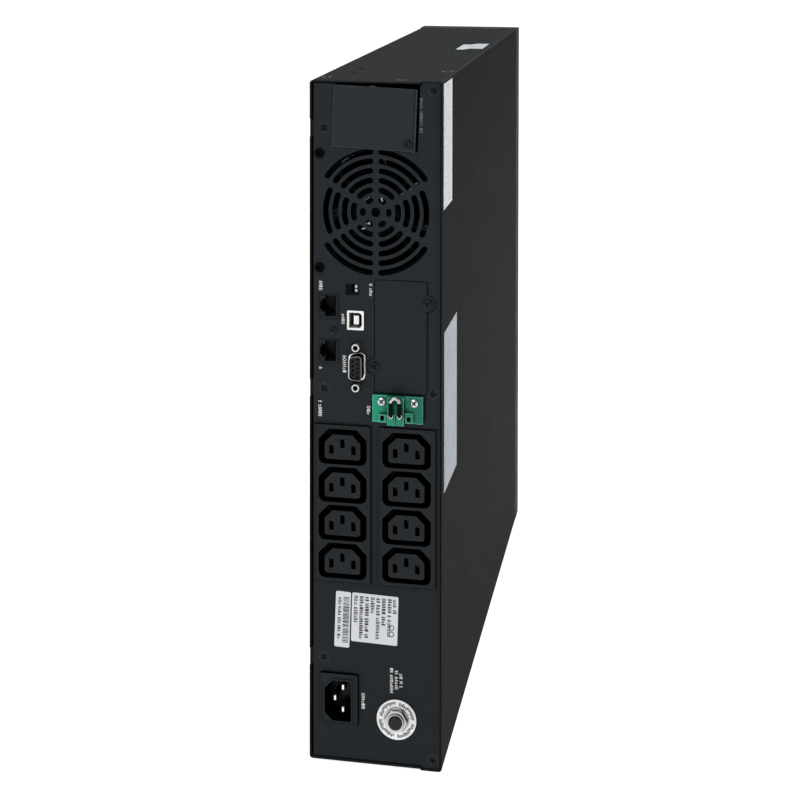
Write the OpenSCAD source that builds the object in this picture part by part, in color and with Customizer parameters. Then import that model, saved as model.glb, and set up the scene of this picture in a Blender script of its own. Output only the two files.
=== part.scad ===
// Two-unit rack UPS standing on its side, rear panel towards -Y.
// X runs across the case from the base sheet to the cover, Y from rear to front, Z up.
// The origin is under the middle of the case. Places on the case are given as [a, d, z]:
// a is measured from the outside of the base sheet, d from the rear edge of the case,
// and z from the lowest face.

/* [Case] */
// Width across the case, from base sheet to cover
case_w = 84; // [84:0.5:86]
// Height of the case as it stands, which is its width in a rack
case_h = 428; // [428:1:436]
// Depth of the case, from its rear edge to the corners of the bezel
case_d = 425; // [425:5:480]
// Thickness of the base sheet and its two sides
base_t = 1; // [0.8:0.1:1.2]
// Thickness of the cover sheet
cover_t = 0.8; // [0.6:0.1:0.8]
// Width of the two lips that the cover folds over the sides
lip_w = 13; // [12:0.5:14]
// Outer bend radius of the case edges
bend_r = 2; // [1.6:0.1:2.2]
// Depth of the plastic front pieces at the corners of the case
bezel_d = 20; // [18:1:22]
// How far the front pieces bulge beyond their corners
bezel_crown = 7.1; // [5:0.1:9]

/* [Rear panel] */
// Thickness of the rear panel
panel_t = 1; // [0.8:0.1:1.2]
// How far the panel sits inside the rear edge of the case
panel_inset = 0.8; // [0.6:0.1:1]
// Gap between the panel and the sheets round it
panel_gap = 0.9; // [0.6:0.1:1]
// Head diameter of the countersunk case screws
screw_head = 6.4; // [5.5:0.1:6.6]
// Shank diameter of the case screws
screw_shank = 3; // [2.5:0.1:3]

/* [Fan] */
// Thickness of the fan
fan_t = 25; // [20:1:32]
// Height of the fan centre below the top of the case
fan_drop = 82.2; // [82:0.1:83]
// Rings of slots in the fan grille
grille_rings = 6; // [3:1:6]
// Distance from one ring of slots to the next
grille_pitch = 5.9; // [5.5:0.1:5.9]
// Width of a grille slot
grille_slot = 3.7; // [3:0.1:4]
// Width of a grille spoke
grille_spoke = 3.2; // [2.5:0.1:4]
// Blades on the fan rotor
fan_blades = 7; // [5:1:9]

/* [Outlets] */
// Outlets in one block
outlet_rows = 4; // [2:1:4]
// Distance between neighbouring outlets
outlet_pitch = 23.87; // [23.5:0.01:24]
// Width of the recess that the plug's collar enters
outlet_w = 30.7; // [30:0.1:31.5]
// Height of that recess
outlet_h = 22.2; // [21.5:0.1:22.4]
// Width of the core that carries the contact slots
core_w = 22.6; // [21.5:0.1:22.8]
// Height of the core
core_h = 15.4; // [14.5:0.1:15.8]
// Depth of an outlet
outlet_depth = 15; // [13:0.5:18]

/* [Inlet and breaker] */
// Diameter of the breaker's dial plate
dial_d = 25; // [22:0.5:28]
// Diameter of the breaker button
breaker_button_d = 8.6; // [7:0.1:9]
// How far the button pops out when the breaker trips
breaker_travel = 4; // [3:0.5:5]

/* [Battery drawer] */
// Size of one battery along the case height
battery_l = 151; // [148:1:151]
// Size of one battery across the case
battery_w = 65; // [60:1:65]
// Size of one battery along the case depth, without terminals
battery_h = 94; // [90:1:95]

/* [Front] */
// Radius of the turning display pod
pod_r = 30; // [26:1:32]
// Height of the pod centre below the top of the case
pod_drop = 44; // [42:1:48]
// Radius of a front button
button_r = 5; // [4:0.5:6]
// Distance between neighbouring front buttons
button_pitch = 18; // [16:1:20]

/* [Hidden] */
$fn = 64;
play = 0.05;
rear_y = -case_d / 2;
front_d = case_d - bezel_d;
panel_d = panel_inset + panel_t;
cover_a = case_w - cover_t;
side_t = cover_t + base_t;
seam_a = case_w - lip_w;
fold_a = case_w - bend_r - 0.1;
inner_corner = 0.7;
bay_top = 318;
fan_side = 80;
fan_pitch = 71.5;
fan_a = case_w / 2;
fan_z = case_h - fan_drop;
base_screw_a = 9.3;
cover_screw_a = 78.3;
base_tab_z = [65.1, 234.4, case_h - 30.6];
cover_tab_z = [6.6, 234.8, case_h - 5.9];
lip_screw_d = [60, case_d / 2, front_d - 8];
lip_screw_head = 5.2;
side_dimples = [[5.4, 16.7], [9.4, 17.4], [17.3, 48.5], [18.5, 69.4]];
side_slots = [[54, 11]];
ear_hole_a = [14, 58];
ear_hole_d = [front_d - 45, front_d - 15];
ear_hole_r = 1.65;
comm_d = 14;
comm_screw_at = [14.9, 270.9];
jack_a = 12.1;
jack_z = [257.6, 285.7];
serial_at = [30, 249.3];
serial_screw_pitch = 25;
usb_at = [29.2, 278];
usb_w = 10.6;
usb_h = 12;
dip_at = [27, 297.1];
card_a = [41.4, 74];
card_z = [233.5, 303.7];
card_screws = [[74.7, 290.3], [41.4, 249.6]];
port_at = [41.1, case_h - 23.7];
port_w = 53.2;
port_h = 38.8;
port_turn = -2.2;
port_screw_at = [21.3, 5 - port_h / 2];
epo_a = [40.4, 72.1];
epo_z = [216.2, 232.8];
epo_plug_a = [50.1, 60.6];
epo_plug_z = [215.2, 232.6];
epo_leg_a = [52.8, 58.2];
epo_entry_z = 221.3;
epo_screw_spots = [[46.3, 229.1], [66.8, 229.1]];
epo_flange_t = 2.5;
serial_proud = 5.6;
bushing_r = 5;
bushing_proud = 4.8;
block_a = [20.7, 61.7];
block_w = 36;
block_z = [112.4, 212];
core_a = [21.1, 61.6];
first_outlet_z = 126.7;
contact_spots = [[0, 2.3], [-7, -1.7], [7, -1.7]];
inlet_pin_pitch = 14;
inlet_at = [18.7, 39.7];
inlet_cavity_at = [18.3, 38.8];
inlet_pin_spots = [[-2.6, 0], [2.5, inlet_pin_pitch / 2], [2.5, -inlet_pin_pitch / 2]];
breaker_at = [55.5, 30.1];
breaker_terminals = [-11, 11];
label_t = 0.15;
board_a = 7;
board_t = 1.6;
board_top = board_a + board_t;
board_d = [30, 186];
board_z = [12, case_h - 12];
drawer_z = [8, 316];
drawer_a = [3, 78];
drawer_d = [front_d - 210, front_d];
bay_wall_d = drawer_d[0] - 3;
socket_a = [28, 54];
socket_z = [194, 230];
battery_a = drawer_a[0] + 1.2;
front_plate_opening = [[2, 79.5], [drawer_z[0] - 1, drawer_z[1] + 1]];
button_z = bay_top + 16;
button_proud = 0.6;
crown_r = (pow(case_w / 2, 2) + pow(bezel_crown, 2)) / (2 * bezel_crown);
pod_z = case_h - pod_drop;
pod_face_d = case_d + bezel_crown;

// ---- Colours ----
black_steel = [0.13, 0.14, 0.15];
black_plastic = [0.07, 0.07, 0.08];
bright_steel = [0.75, 0.76, 0.78];
brass_yellow = [0.78, 0.62, 0.28];
board_green = [0.08, 0.32, 0.18];
epo_green = [0.13, 0.55, 0.42];
label_white = [0.84, 0.85, 0.87];
ferrite_grey = [0.2, 0.2, 0.22];
connector_red = [0.65, 0.1, 0.08];

// ---- Points and outlines ----
function unit(v) = v / norm(v);
function short_way(angle) = angle > 180 ? angle - 360 : angle < -180 ? angle + 360 : angle;
// The arc that rounds corner v, between its neighbours p and n.
function corner_arc(p, v, n, r, steps) = r == 0 ? [v] :
  let (
    u = unit(p - v),
    w = unit(n - v),
    half = acos(u * w) / 2,
    centre = v + unit(u + w) * r / sin(half),
    first = v + u * r / tan(half) - centre,
    last = v + w * r / tan(half) - centre,
    start = atan2(first.y, first.x),
    sweep = short_way(atan2(last.y, last.x) - start)
  )
  [for (i = [0:steps]) centre + r * [cos(start + sweep * i / steps), sin(start + sweep * i / steps)]];
// A slot along a circle of radius r, centred on angle 0, with half-round ends.
function arc_slot_points(r, half_angle, w, steps = 12, cap_steps = 6) = concat(
  [for (i = [0:steps]) let (t = -half_angle + 2 * half_angle * i / steps)
    (r + w / 2) * [cos(t), sin(t)]],
  [for (i = [1:cap_steps]) let (t = half_angle + 180 * i / cap_steps)
    r * [cos(half_angle), sin(half_angle)] + w / 2 * [cos(t), sin(t)]],
  [for (i = [1:steps]) let (t = half_angle - 2 * half_angle * i / steps)
    (r - w / 2) * [cos(t), sin(t)]],
  [for (i = [1:cap_steps - 1]) let (t = 180 - half_angle + 180 * i / cap_steps)
    r * [cos(half_angle), -sin(half_angle)] + w / 2 * [cos(t), sin(t)]]);

module rounded_shape(points, radii, steps = 5) {
  last = len(points) - 1;
  polygon([for (i = [0:last]) each corner_arc(points[i == 0 ? last : i - 1], points[i],
    points[i == last ? 0 : i + 1], is_list(radii) ? radii[i] : radii, steps)]);
}
module rounded_box_shape(w, h, r, steps = 5) {
  rounded_shape([[-w / 2, -h / 2], [w / 2, -h / 2], [w / 2, h / 2], [-w / 2, h / 2]], r, steps);
}
module rect_shape(a, z) {
  translate([a[0], z[0]]) square([a[1] - a[0], z[1] - z[0]]);
}
// Appliance outlet outline: cut corners above, round corners below.
module outlet_shape(w, h, cut, r) {
  soft = 0.8;
  rounded_shape([
    [-w / 2, -h / 2], [w / 2, -h / 2], [w / 2, h / 2 - cut], [w / 2 - cut, h / 2],
    [cut - w / 2, h / 2], [-w / 2, h / 2 - cut]], [r, r, soft, soft, soft, soft]);
}
// D-shaped connector outline, long side towards +x.
module d_shape(w, h, r) {
  slope = w * tan(10);
  rounded_shape([[-w / 2, slope - h / 2], [w / 2, -h / 2], [w / 2, h / 2], [-w / 2, h / 2 - slope]], r);
}

// ---- Placing ----
function across(a) = a - case_w / 2;
function place(a, d, z) = [across(a), rear_y + d, z];
// A block between two values each of a, d and z.
module block(a, d, z) {
  translate(place(a[0], d[0], z[0])) cube([a[1] - a[0], d[1] - d[0], z[1] - z[0]]);
}
// Local x towards the cover, local y up, local z out of the rear panel's face.
module at_rear(a, z) {
  translate(place(a, panel_inset, z)) rotate([90, 0, 0]) children();
}
// Local x towards the base, local y up, local z out of the front, from depth d.
module at_front(a, d, z) {
  translate(place(a, d, z)) rotate([90, 0, 180]) children();
}
// Local z towards the cover, local x down, local y towards the front.
module on_base(a, d, z) {
  translate(place(a, d, z)) rotate([0, 90, 0]) children();
}
// Local z out of the lower side, in the middle of the cover's lip.
module on_lip(d) {
  translate(place(case_w - lip_w / 2, d, 0)) rotate([180, 0, 0]) children();
}
module layer(z0, z1) {
  translate([0, 0, z0]) linear_extrude(z1 - z0) children();
}
// A profile drawn in a and z, carried from depth d[0] to d[1].
module along_depth(d) {
  translate(place(0, d[1], 0)) rotate([90, 0, 0]) linear_extrude(d[1] - d[0]) children();
}
// The children at the lower side of the case, and mirrored at its upper side.
module both_sides() {
  children();
  translate([0, 0, case_h]) mirror([0, 0, 1]) children();
}
// A wire of radius r through a list of points.
module wire_run(points, r) {
  for (i = [0:len(points) - 2]) {
    v = points[i + 1] - points[i];
    translate(points[i]) rotate([0, acos(v.z / norm(v)), atan2(v.y, v.x)]) cylinder(h = norm(v), r = r);
    if (i > 0) translate(points[i]) sphere(r * 1.04);
  }
}

// ---- Screws ----
function sunk_head_h(head, shank) = (head - shank) / 4;
module cross_recess(span, depth) {
  blade = span * 0.27;
  for (turn = [0, 90]) rotate(turn) translate([-span / 2, -blade / 2, -depth]) cube([span, blade, depth + 1]);
}
// Head face at local z 0, shank into -z.
module flat_screw(head, shank, length, turn = 45) {
  head_h = sunk_head_h(head, shank);
  difference() {
    union() {
      translate([0, 0, -head_h]) cylinder(h = head_h, d1 = shank, d2 = head);
      translate([0, 0, -length]) cylinder(h = length - head_h, d = shank);
    }
    rotate(turn) cross_recess(head * 0.66, 1.1);
  }
}
module countersink(head, shank, depth) {
  head_h = sunk_head_h(head, shank);
  translate([0, 0, -head_h]) cylinder(h = head_h, d1 = shank + 2 * play, d2 = head + 2 * play);
  translate([0, 0, -depth]) cylinder(h = depth, d = shank + 2 * play);
}
// Seat at local z 0, domed head above it, shank into -z.
module pan_screw(head, shank, length, turn = 45) {
  head_h = head * 0.32;
  difference() {
    union() {
      intersection() {
        cylinder(h = head_h, d = head);
        translate([0, 0, head_h - head]) sphere(head);
      }
      translate([0, 0, -length]) cylinder(h = length, d = shank);
    }
    translate([0, 0, head_h]) rotate(turn) cross_recess(head * 0.66, head_h * 0.85);
  }
}

// ---- Case ----
module base_profile() {
  difference() {
    rounded_shape([[0, cover_t], [fold_a, cover_t], [fold_a, case_h - cover_t], [0, case_h - cover_t]],
      [bend_r, 0, 0, bend_r]);
    rounded_shape([[base_t, side_t], [case_w, side_t], [case_w, case_h - side_t], [base_t, case_h - side_t]],
      [bend_r - base_t, 0, 0, bend_r - base_t]);
  }
}
module cover_profile() {
  difference() {
    rounded_shape([[seam_a, 0], [case_w, 0], [case_w, case_h], [seam_a, case_h]], [0, bend_r, bend_r, 0]);
    rounded_shape([[0, cover_t], [cover_a, cover_t], [cover_a, case_h - cover_t], [0, case_h - cover_t]],
      [0, bend_r - cover_t, bend_r - cover_t, 0]);
  }
}
// Screw collars for the rack ears, pressed inwards out of the sides.
module ear_collars(r, z0, z1) {
  for (a = ear_hole_a, d = ear_hole_d) translate(place(a, d, z0)) cylinder(h = z1 - z0, r = r);
}
module chassis_base() {
  tab_half = 5;
  collar_top = side_t + 2.5;
  color(black_steel) difference() {
    union() {
      along_depth([0, front_d]) base_profile();
      for (z = base_tab_z)
        block([base_t / 2, 14], [panel_d, panel_d + base_t], [z - tab_half, z + tab_half]);
      both_sides() {
        ear_collars(ear_hole_r + 1.2, cover_t, collar_top);
        for (p = side_dimples) translate(place(p.x, p.y, cover_t - 0.4)) cylinder(h = 1, r = 1.8);
      }
    }
    for (z = base_tab_z) {
      block([-1, base_t], [-1, 1.2], [z - tab_half - 0.5, z + tab_half + 0.5]);
      at_rear(base_screw_a, z) translate([0, 0, -6]) cylinder(h = 6, d = screw_shank + 2 * play);
    }
    both_sides() {
      ear_collars(ear_hole_r, -1, collar_top + 1);
      block([seam_a - 0.5, case_w], [-1, panel_d + 0.4], [-1, side_t + 1]);
      for (p = side_slots) block([p.x, p.x + 5], [p.y, p.y + 1.6], [-1, side_t + 1]);
      for (d = lip_screw_d)
        translate(place(case_w - lip_w / 2, d, 0)) cylinder(h = 5, d = screw_shank + 2 * play);
    }
  }
}
module top_cover() {
  tab_half = 4;
  color(black_steel) difference() {
    union() {
      along_depth([0, front_d]) cover_profile();
      for (z = cover_tab_z)
        block([72, case_w - cover_t / 2], [panel_d, panel_d + base_t], [z - tab_half, z + tab_half]);
    }
    for (z = cover_tab_z)
      at_rear(cover_screw_a, z) translate([0, 0, -6]) cylinder(h = 6, d = screw_shank + 2 * play);
    both_sides() for (d = lip_screw_d)
      on_lip(d) countersink(lip_screw_head, screw_shank, 3);
  }
}

// ---- Rear panel ----
// Rings of slots between six spokes. A slot that would run into the panel's side edge is left out.
module fan_grille_shape() {
  first_ring = 8.2;
  side_margin = 3.5;
  circle(r = 2.9);
  for (k = [0:grille_rings - 1], sector = [0:5]) {
    r = first_ring + grille_pitch * k;
    half_angle = 30 - asin((grille_spoke + grille_slot) / 2 / r);
    faces_edge = sector % 3 == 0 && r + grille_slot / 2 > case_w / 2 - side_margin;
    if (!faces_edge) rotate(60 * sector) polygon(arc_slot_points(r, half_angle, grille_slot));
  }
}
module card_cover_shape(grow) {
  ear_r = 4.9;
  translate([(card_a[0] + card_a[1]) / 2, (card_z[0] + card_z[1]) / 2])
    rounded_box_shape(card_a[1] - card_a[0] + 2 * grow, card_z[1] - card_z[0] + 2 * grow, 2 + grow);
  for (p = card_screws) translate(p) circle(ear_r + grow);
}
module panel_outline() {
  base_gap = 1.4;
  edge_z = side_t + panel_gap;
  left = seam_a + 0.3;
  right = cover_a - 0.6;
  low = cover_t + 0.1;
  rect_shape([base_t + base_gap, right], [edge_z, case_h - edge_z]);
  rounded_shape([[left, low], [right, low], [right, case_h - low], [left, case_h - low]],
    [0, bend_r - cover_t, bend_r - cover_t, 0]);
}
module panel_cutouts() {
  slit_w = 1.4;
  small_hole_r = 1.3;
  block_lip = 0.8;
  block_hole_w = block_w - 2 * block_lip;
  block_hole_z = [block_z[0] + block_lip, block_z[1] - block_lip];
  translate([fan_a, fan_z]) fan_grille_shape();
  for (side = [-1, 1]) translate([fan_a - fan_pitch / 2, fan_z + side * fan_pitch / 2]) circle(r = 2);
  translate(port_at) rotate(port_turn) {
    rect_shape([1.5 - port_w / 2, port_w / 2 + slit_w], [port_h / 2 - 1.3, port_h / 2 + 4]);
    rect_shape([port_w / 2 - 1, port_w / 2 + slit_w], [-port_h / 2, port_h / 2]);
    translate(port_screw_at) circle(r = small_hole_r);
  }
  rect_shape([26, 58], [case_h - 35, case_h - 13]);
  for (z = jack_z) translate([jack_a, z]) rounded_box_shape(13.2, 15.6, 0.6);
  translate(comm_screw_at) circle(r = 1.6);
  translate(dip_at) square([8.4, 6.9], center = true);
  translate(usb_at) rounded_box_shape(usb_w + 0.2, usb_h + 0.2, 0.5);
  translate(serial_at) d_shape(10.9, 18.6, 3.1);
  for (side = [-1, 1]) translate([serial_at.x, serial_at.y + side * serial_screw_pitch / 2]) circle(r = 1.7);
  card_cover_shape(0.5);
  rect_shape([44.2, 68.4], [217.7, 231.8]);
  for (a = block_a)
    rect_shape([a - block_hole_w / 2, a + block_hole_w / 2], block_hole_z);
  translate(inlet_at) square([21.2, 29.7], center = true);
  translate(breaker_at) circle(r = bushing_r + 0.1);
}
module rear_panel() {
  color(black_steel) difference() {
    at_rear(0, 0) layer(-panel_t, 0) difference() {
      panel_outline();
      panel_cutouts();
    }
    for (z = base_tab_z) at_rear(base_screw_a, z) countersink(screw_head, screw_shank, 3);
    for (z = cover_tab_z) at_rear(cover_screw_a, z) countersink(screw_head, screw_shank, 3);
  }
}

// ---- Case and panel screws ----
module case_screws() {
  color(black_plastic) {
    for (z = base_tab_z) at_rear(base_screw_a, z) flat_screw(screw_head, screw_shank, 5);
    for (z = cover_tab_z) at_rear(cover_screw_a, z) flat_screw(screw_head, screw_shank, 5, 0);
    both_sides() for (d = lip_screw_d)
      on_lip(d) flat_screw(lip_screw_head, screw_shank, 5);
  }
}
module panel_screws() {
  small_head = 4.6;
  small_shank = 2.5;
  color(black_plastic) {
    at_rear(port_at.x, port_at.y) rotate(port_turn) translate([port_screw_at.x, port_screw_at.y, 1])
      pan_screw(small_head, small_shank, 3.5);
    for (p = card_screws) at_rear(p.x, p.y) pan_screw(5.2, small_shank, 3);
    at_rear(comm_screw_at.x, comm_screw_at.y) {
      pan_screw(small_head, small_shank, 6);
      translate([0, 0, panel_inset - comm_d - board_t]) rotate([180, 0, 0])
        pan_screw(small_head, small_shank, 5);
    }
    for (side = [-1, 1])
      at_rear(fan_a - fan_pitch / 2, fan_z + side * fan_pitch / 2) pan_screw(5.8, 3.9, 9);
  }
}

// ---- Inner sheet metal ----
module front_plate() {
  a = [base_t + inner_corner, fold_a];
  cut_d = [front_d - 2, front_d + 1];
  color(black_steel) difference() {
    block(a, [front_d - 1, front_d], [side_t + 0.1, case_h - side_t - 0.1]);
    block(front_plate_opening[0], cut_d, front_plate_opening[1]);
    block([22, 62], cut_d, [pod_z - 20, pod_z + 20]);
    block([14, 70], cut_d, [button_z - 6, button_z + 6]);
  }
}
module bay_divider() {
  vents = 6;
  cut_d = [bay_wall_d - 1, bay_wall_d + 2];
  color(bright_steel) difference() {
    union() {
      block([base_t, cover_a], [bay_wall_d, front_d - 1], [bay_top, bay_top + 1]);
      block([base_t + inner_corner, fold_a], [bay_wall_d, bay_wall_d + 1], [side_t, bay_top + 1]);
    }
    block([socket_a[0] + 1, socket_a[1] - 1], cut_d, [socket_z[0] + 1, socket_z[1] - 1]);
    for (start = [30, 240], i = [0:vents - 1]) block([62, 74], cut_d, [start + 12 * i, start + 12 * i + 5]);
  }
}

// ---- Battery port and card slot ----
module battery_port_cover() {
  edge = [port_w / 2, port_h / 2];
  fold = [2 - edge.x, edge.x - 2];
  color(black_steel) at_rear(port_at.x, port_at.y) rotate(port_turn) difference() {
    union() {
      layer(0, 1) rect_shape([-edge.x, edge.x], [-edge.y, edge.y]);
      layer(1, 2.4) rect_shape([edge.x - 0.8, edge.x], [-edge.y, edge.y]);
      layer(-4, 0.5) rect_shape(fold, [edge.y - 1, edge.y - 0.2]);
      layer(-0.8, 0.5) rect_shape([-3.5, 0], [edge.y - 1, edge.y + 0.6]);
    }
    translate([port_screw_at.x, port_screw_at.y, -1]) cylinder(h = 4, r = 1.3);
  }
}
module battery_port_socket() {
  color(black_plastic) at_rear(0, 0) difference() {
    union() {
      layer(-panel_t - 2, -panel_t) rect_shape([22, 60], [case_h - 38, case_h - 10]);
      layer(-30, -0.3) rect_shape([27, 57], [case_h - 34, case_h - 14]);
    }
    for (a = [34.5, 49.5]) layer(-22, 1) translate([a, case_h - 24]) rounded_box_shape(11, 14, 1.5);
  }
}
module card_slot_cover() {
  color(black_steel) at_rear(0, 0) difference() {
    layer(-panel_t, 0) card_cover_shape(0);
    for (p = card_screws) translate([p.x, p.y, -3]) cylinder(h = 4, r = 1.3);
  }
}
module card_cage() {
  d = [panel_d, panel_d + 108];
  z = [236, 301];
  flange_d = [panel_d, panel_d + 1.5];
  color(bright_steel) difference() {
    union() {
      block([44, 45], d, z);
      for (low = [z[0], z[1] - 1]) block([44, 71], d, [low, low + 1]);
      for (a = [48, 52]) {
        block([a, a + 1], d, [z[0], z[0] + 5]);
        block([a, a + 1], d, [z[1] - 5, z[1]]);
      }
      block([66, 79.7], flange_d, [card_screws[0].y - 5, z[1]]);
      block([36.4, 46.4], flange_d, [card_screws[1].y - 5, card_screws[1].y + 5]);
    }
    for (p = card_screws) at_rear(p.x, p.y) translate([0, 0, -6]) cylinder(h = 6, r = 1.3);
  }
}

// ---- Fan ----
fan_shaft_r = 1.5;
module fan_frame() {
  flange_t = 4;
  bore_r = 38;
  motor_r = 15;
  color(black_plastic) at_rear(fan_a, fan_z) translate([0, 0, -panel_t - fan_t]) difference() {
    union() {
      difference() {
        union() {
          for (z = [0, fan_t - flange_t]) layer(z, z + flange_t) rounded_box_shape(fan_side, fan_side, 4);
          cylinder(h = fan_t, r = fan_side / 2 - 0.2);
        }
        translate([0, 0, -1]) cylinder(h = fan_t + 2, r = bore_r);
      }
      translate([0, 0, fan_t - 3]) cylinder(h = 3, r = motor_r);
      translate([0, 0, fan_t - 12]) cylinder(h = 10, r = 4);
      for (turn = [45:90:315])
        rotate(turn) translate([motor_r - 3, -1.5, fan_t - 3]) cube([bore_r - motor_r + 4, 3, 3]);
    }
    for (x = [-1, 1], y = [-1, 1]) translate([x * fan_pitch / 2, y * fan_pitch / 2, -1])
      cylinder(h = fan_t + 2, r = 2.15);
    translate([0, 0, fan_t - 13]) cylinder(h = 10, r = fan_shaft_r + play);
  }
}
module fan_rotor() {
  hub_r = 16;
  tip_r = 37.2;
  rotor_h = fan_t - 6;
  pitch_angle = 52;
  color(black_plastic) at_rear(fan_a, fan_z) translate([0, 0, 1 - panel_t - fan_t]) {
    difference() {
      cylinder(h = rotor_h, r = hub_r);
      translate([0, 0, 2]) cylinder(h = rotor_h, r = hub_r - 2);
    }
    cylinder(h = rotor_h, r = fan_shaft_r);
    difference() {
      intersection() {
        union() for (i = [0:fan_blades - 1]) rotate(360 / fan_blades * i)
          translate([hub_r - 2, 0, rotor_h / 2]) rotate([pitch_angle, 0, 0]) translate([0, -1, -14])
            cube([tip_r - hub_r + 4, 2, 28]);
        translate([0, 0, 1]) cylinder(h = rotor_h - 2, r = tip_r);
      }
      translate([0, 0, -1]) cylinder(h = rotor_h + 2, r = hub_r - 1);
    }
  }
}

// ---- Signal connectors ----
module comm_board() {
  color(board_green) difference() {
    block([3, 38.5], [comm_d, comm_d + board_t], [232, 304]);
    at_rear(comm_screw_at.x, comm_screw_at.y) translate([0, 0, -20]) cylinder(h = 20, r = 1.3);
  }
}
// Stepped mouth with the latch notch towards the base.
module surge_jacks() {
  color(black_plastic) for (z = jack_z) at_rear(jack_a, z) difference() {
    layer(panel_inset - comm_d, 0.4) rounded_box_shape(13, 15.4, 0.5);
    layer(-11, 1) {
      translate([-2.4, -5.9]) square([7.1, 13]);
      translate([-4.5, -3.3]) square([2.5, 8.2]);
      translate([-5.8, -1.9]) square([1.8, 5.4]);
    }
    layer(0.2, 1) difference() {
      rounded_box_shape(12, 14.4, 0.4);
      rounded_box_shape(11.4, 13.8, 0.4);
    }
  }
}
dip_slot_x = [-0.3, 3.5];
dip_slot_y = [2.15, -0.35];
dip_slot_h = 1.9;
module dip_switch_body() {
  color(black_plastic) at_rear(dip_at.x, dip_at.y) difference() {
    layer(panel_inset - comm_d, 0.3) square([8.2, 6.7], center = true);
    for (y = dip_slot_y) layer(-1.2, 1)
      translate([dip_slot_x[0], y - dip_slot_h / 2]) square([dip_slot_x[1] - dip_slot_x[0], dip_slot_h]);
  }
}
module dip_slider(y) {
  w = 1.5;
  h = dip_slot_h - 2 * play;
  color(label_white) at_rear(dip_at.x, dip_at.y) layer(-1.15, 0.3)
    translate([dip_slot_x[1] - play - w, y - h / 2]) square([w, h]);
}
module dip_slider_1() dip_slider(dip_slot_y[0]);
module dip_slider_2() dip_slider(dip_slot_y[1]);

module usb_port() {
  color(label_white) at_rear(usb_at.x, usb_at.y) {
    difference() {
      layer(panel_inset - comm_d, 0.6) rounded_box_shape(usb_w, usb_h, 0.5);
      layer(-10, 1) rounded_shape([[-4.2, -4.8], [4.1, -4.8], [4.1, 4.8], [-4.2, 4.8]], [0.4, 2.2, 2.2, 0.4]);
    }
    layer(-10.5, -0.6) translate([0.4, 0]) rounded_box_shape(3.2, 5.4, 0.3);
  }
}
module serial_shell() {
  color(bright_steel) at_rear(serial_at.x, serial_at.y) difference() {
    union() {
      layer(-panel_t - 0.8, -panel_t) rounded_box_shape(12.5, 30.8, 1);
      layer(-panel_t - 0.5, serial_proud) d_shape(8.3, 16.4, 2.2);
    }
    layer(-3, serial_proud + 1) d_shape(7.2, 15.3, 1.7);
    for (side = [-1, 1]) translate([0, side * serial_screw_pitch / 2, -3]) cylinder(h = 3, r = 1.6);
  }
}
module serial_insert() {
  pitch = 2.77;
  row_x = 1.42;
  socket_r = 0.75;
  color(black_plastic) at_rear(serial_at.x, serial_at.y) difference() {
    union() {
      layer(panel_inset - comm_d, -panel_t - 0.8) rounded_box_shape(9, 16.5, 1);
      layer(-panel_t - 0.8, serial_proud - 1) d_shape(6.4, 14.5, 1.4);
    }
    for (i = [-2:2]) translate([row_x, pitch * i, -4]) cylinder(h = 10, r = socket_r);
    for (i = [-1.5:1.5]) translate([-row_x, pitch * i, -4]) cylinder(h = 10, r = socket_r);
  }
}
module serial_jackscrews() {
  hex_r = 2.75;
  hex_h = 4.6;
  color(bright_steel) for (side = [-1, 1])
    at_rear(serial_at.x, serial_at.y + side * serial_screw_pitch / 2) difference() {
      union() {
        intersection() {
          cylinder(h = hex_h, r = hex_r, $fn = 6);
          cylinder(h = hex_h, r1 = 2 * hex_r, r2 = hex_r - 0.4);
        }
        translate([0, 0, -4]) cylinder(h = 4.5, r = 1.5);
      }
      translate([0, 0, -1]) cylinder(h = 6, r = 1.2);
    }
}

// ---- Emergency power off terminal ----
module epo_header() {
  color(epo_green) at_rear(0, 0) difference() {
    union() {
      layer(0, epo_flange_t) rect_shape(epo_a, epo_z);
      layer(-11, 0) rect_shape([44.5, 67.5], [218, 231.5]);
      layer(0, epo_flange_t + 2) rect_shape([44.6, 49.4], [216.6, 221.6]);
      layer(0, epo_flange_t + 2) rect_shape([61.3, 66.4], [217, 223.2]);
    }
    layer(0, 9) rect_shape([epo_plug_a[0] - 0.3, epo_plug_a[1] + 0.3], [epo_z[0] - 2, epo_z[1] + 1]);
    layer(-8, 1) rect_shape([50.7, 60.1], [219, 231.1]);
    for (a = [47, 63.6]) layer(-2, 9) translate([a, 219.3]) rounded_box_shape(2.6, 3.6, 1.2);
    for (p = epo_screw_spots) translate([p.x, p.y, -6]) cylinder(h = 9, r = 1.25);
  }
}
module epo_header_screws() {
  color(bright_steel) for (p = epo_screw_spots)
    at_rear(p.x, p.y) translate([0, 0, epo_flange_t]) pan_screw(4.8, 2.4, 7);
}
module epo_plug() {
  face = 5.2;
  middle = (epo_leg_a[0] + epo_leg_a[1]) / 2;
  color(epo_green) at_rear(0, 0) difference() {
    union() {
      layer(0.2, face) rect_shape(epo_plug_a, epo_plug_z);
      layer(-7.5, 0.3) rect_shape([51, 59.8], [219.3, 230.8]);
    }
    for (a = epo_leg_a) layer(1, face + 1) translate([a, epo_entry_z]) square([3.4, 3.4], center = true);
    layer(face - 1.2, face + 1) rect_shape([middle - 0.35, middle + 0.35], [epo_plug_z[0] - 1, epo_entry_z]);
  }
}
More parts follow.
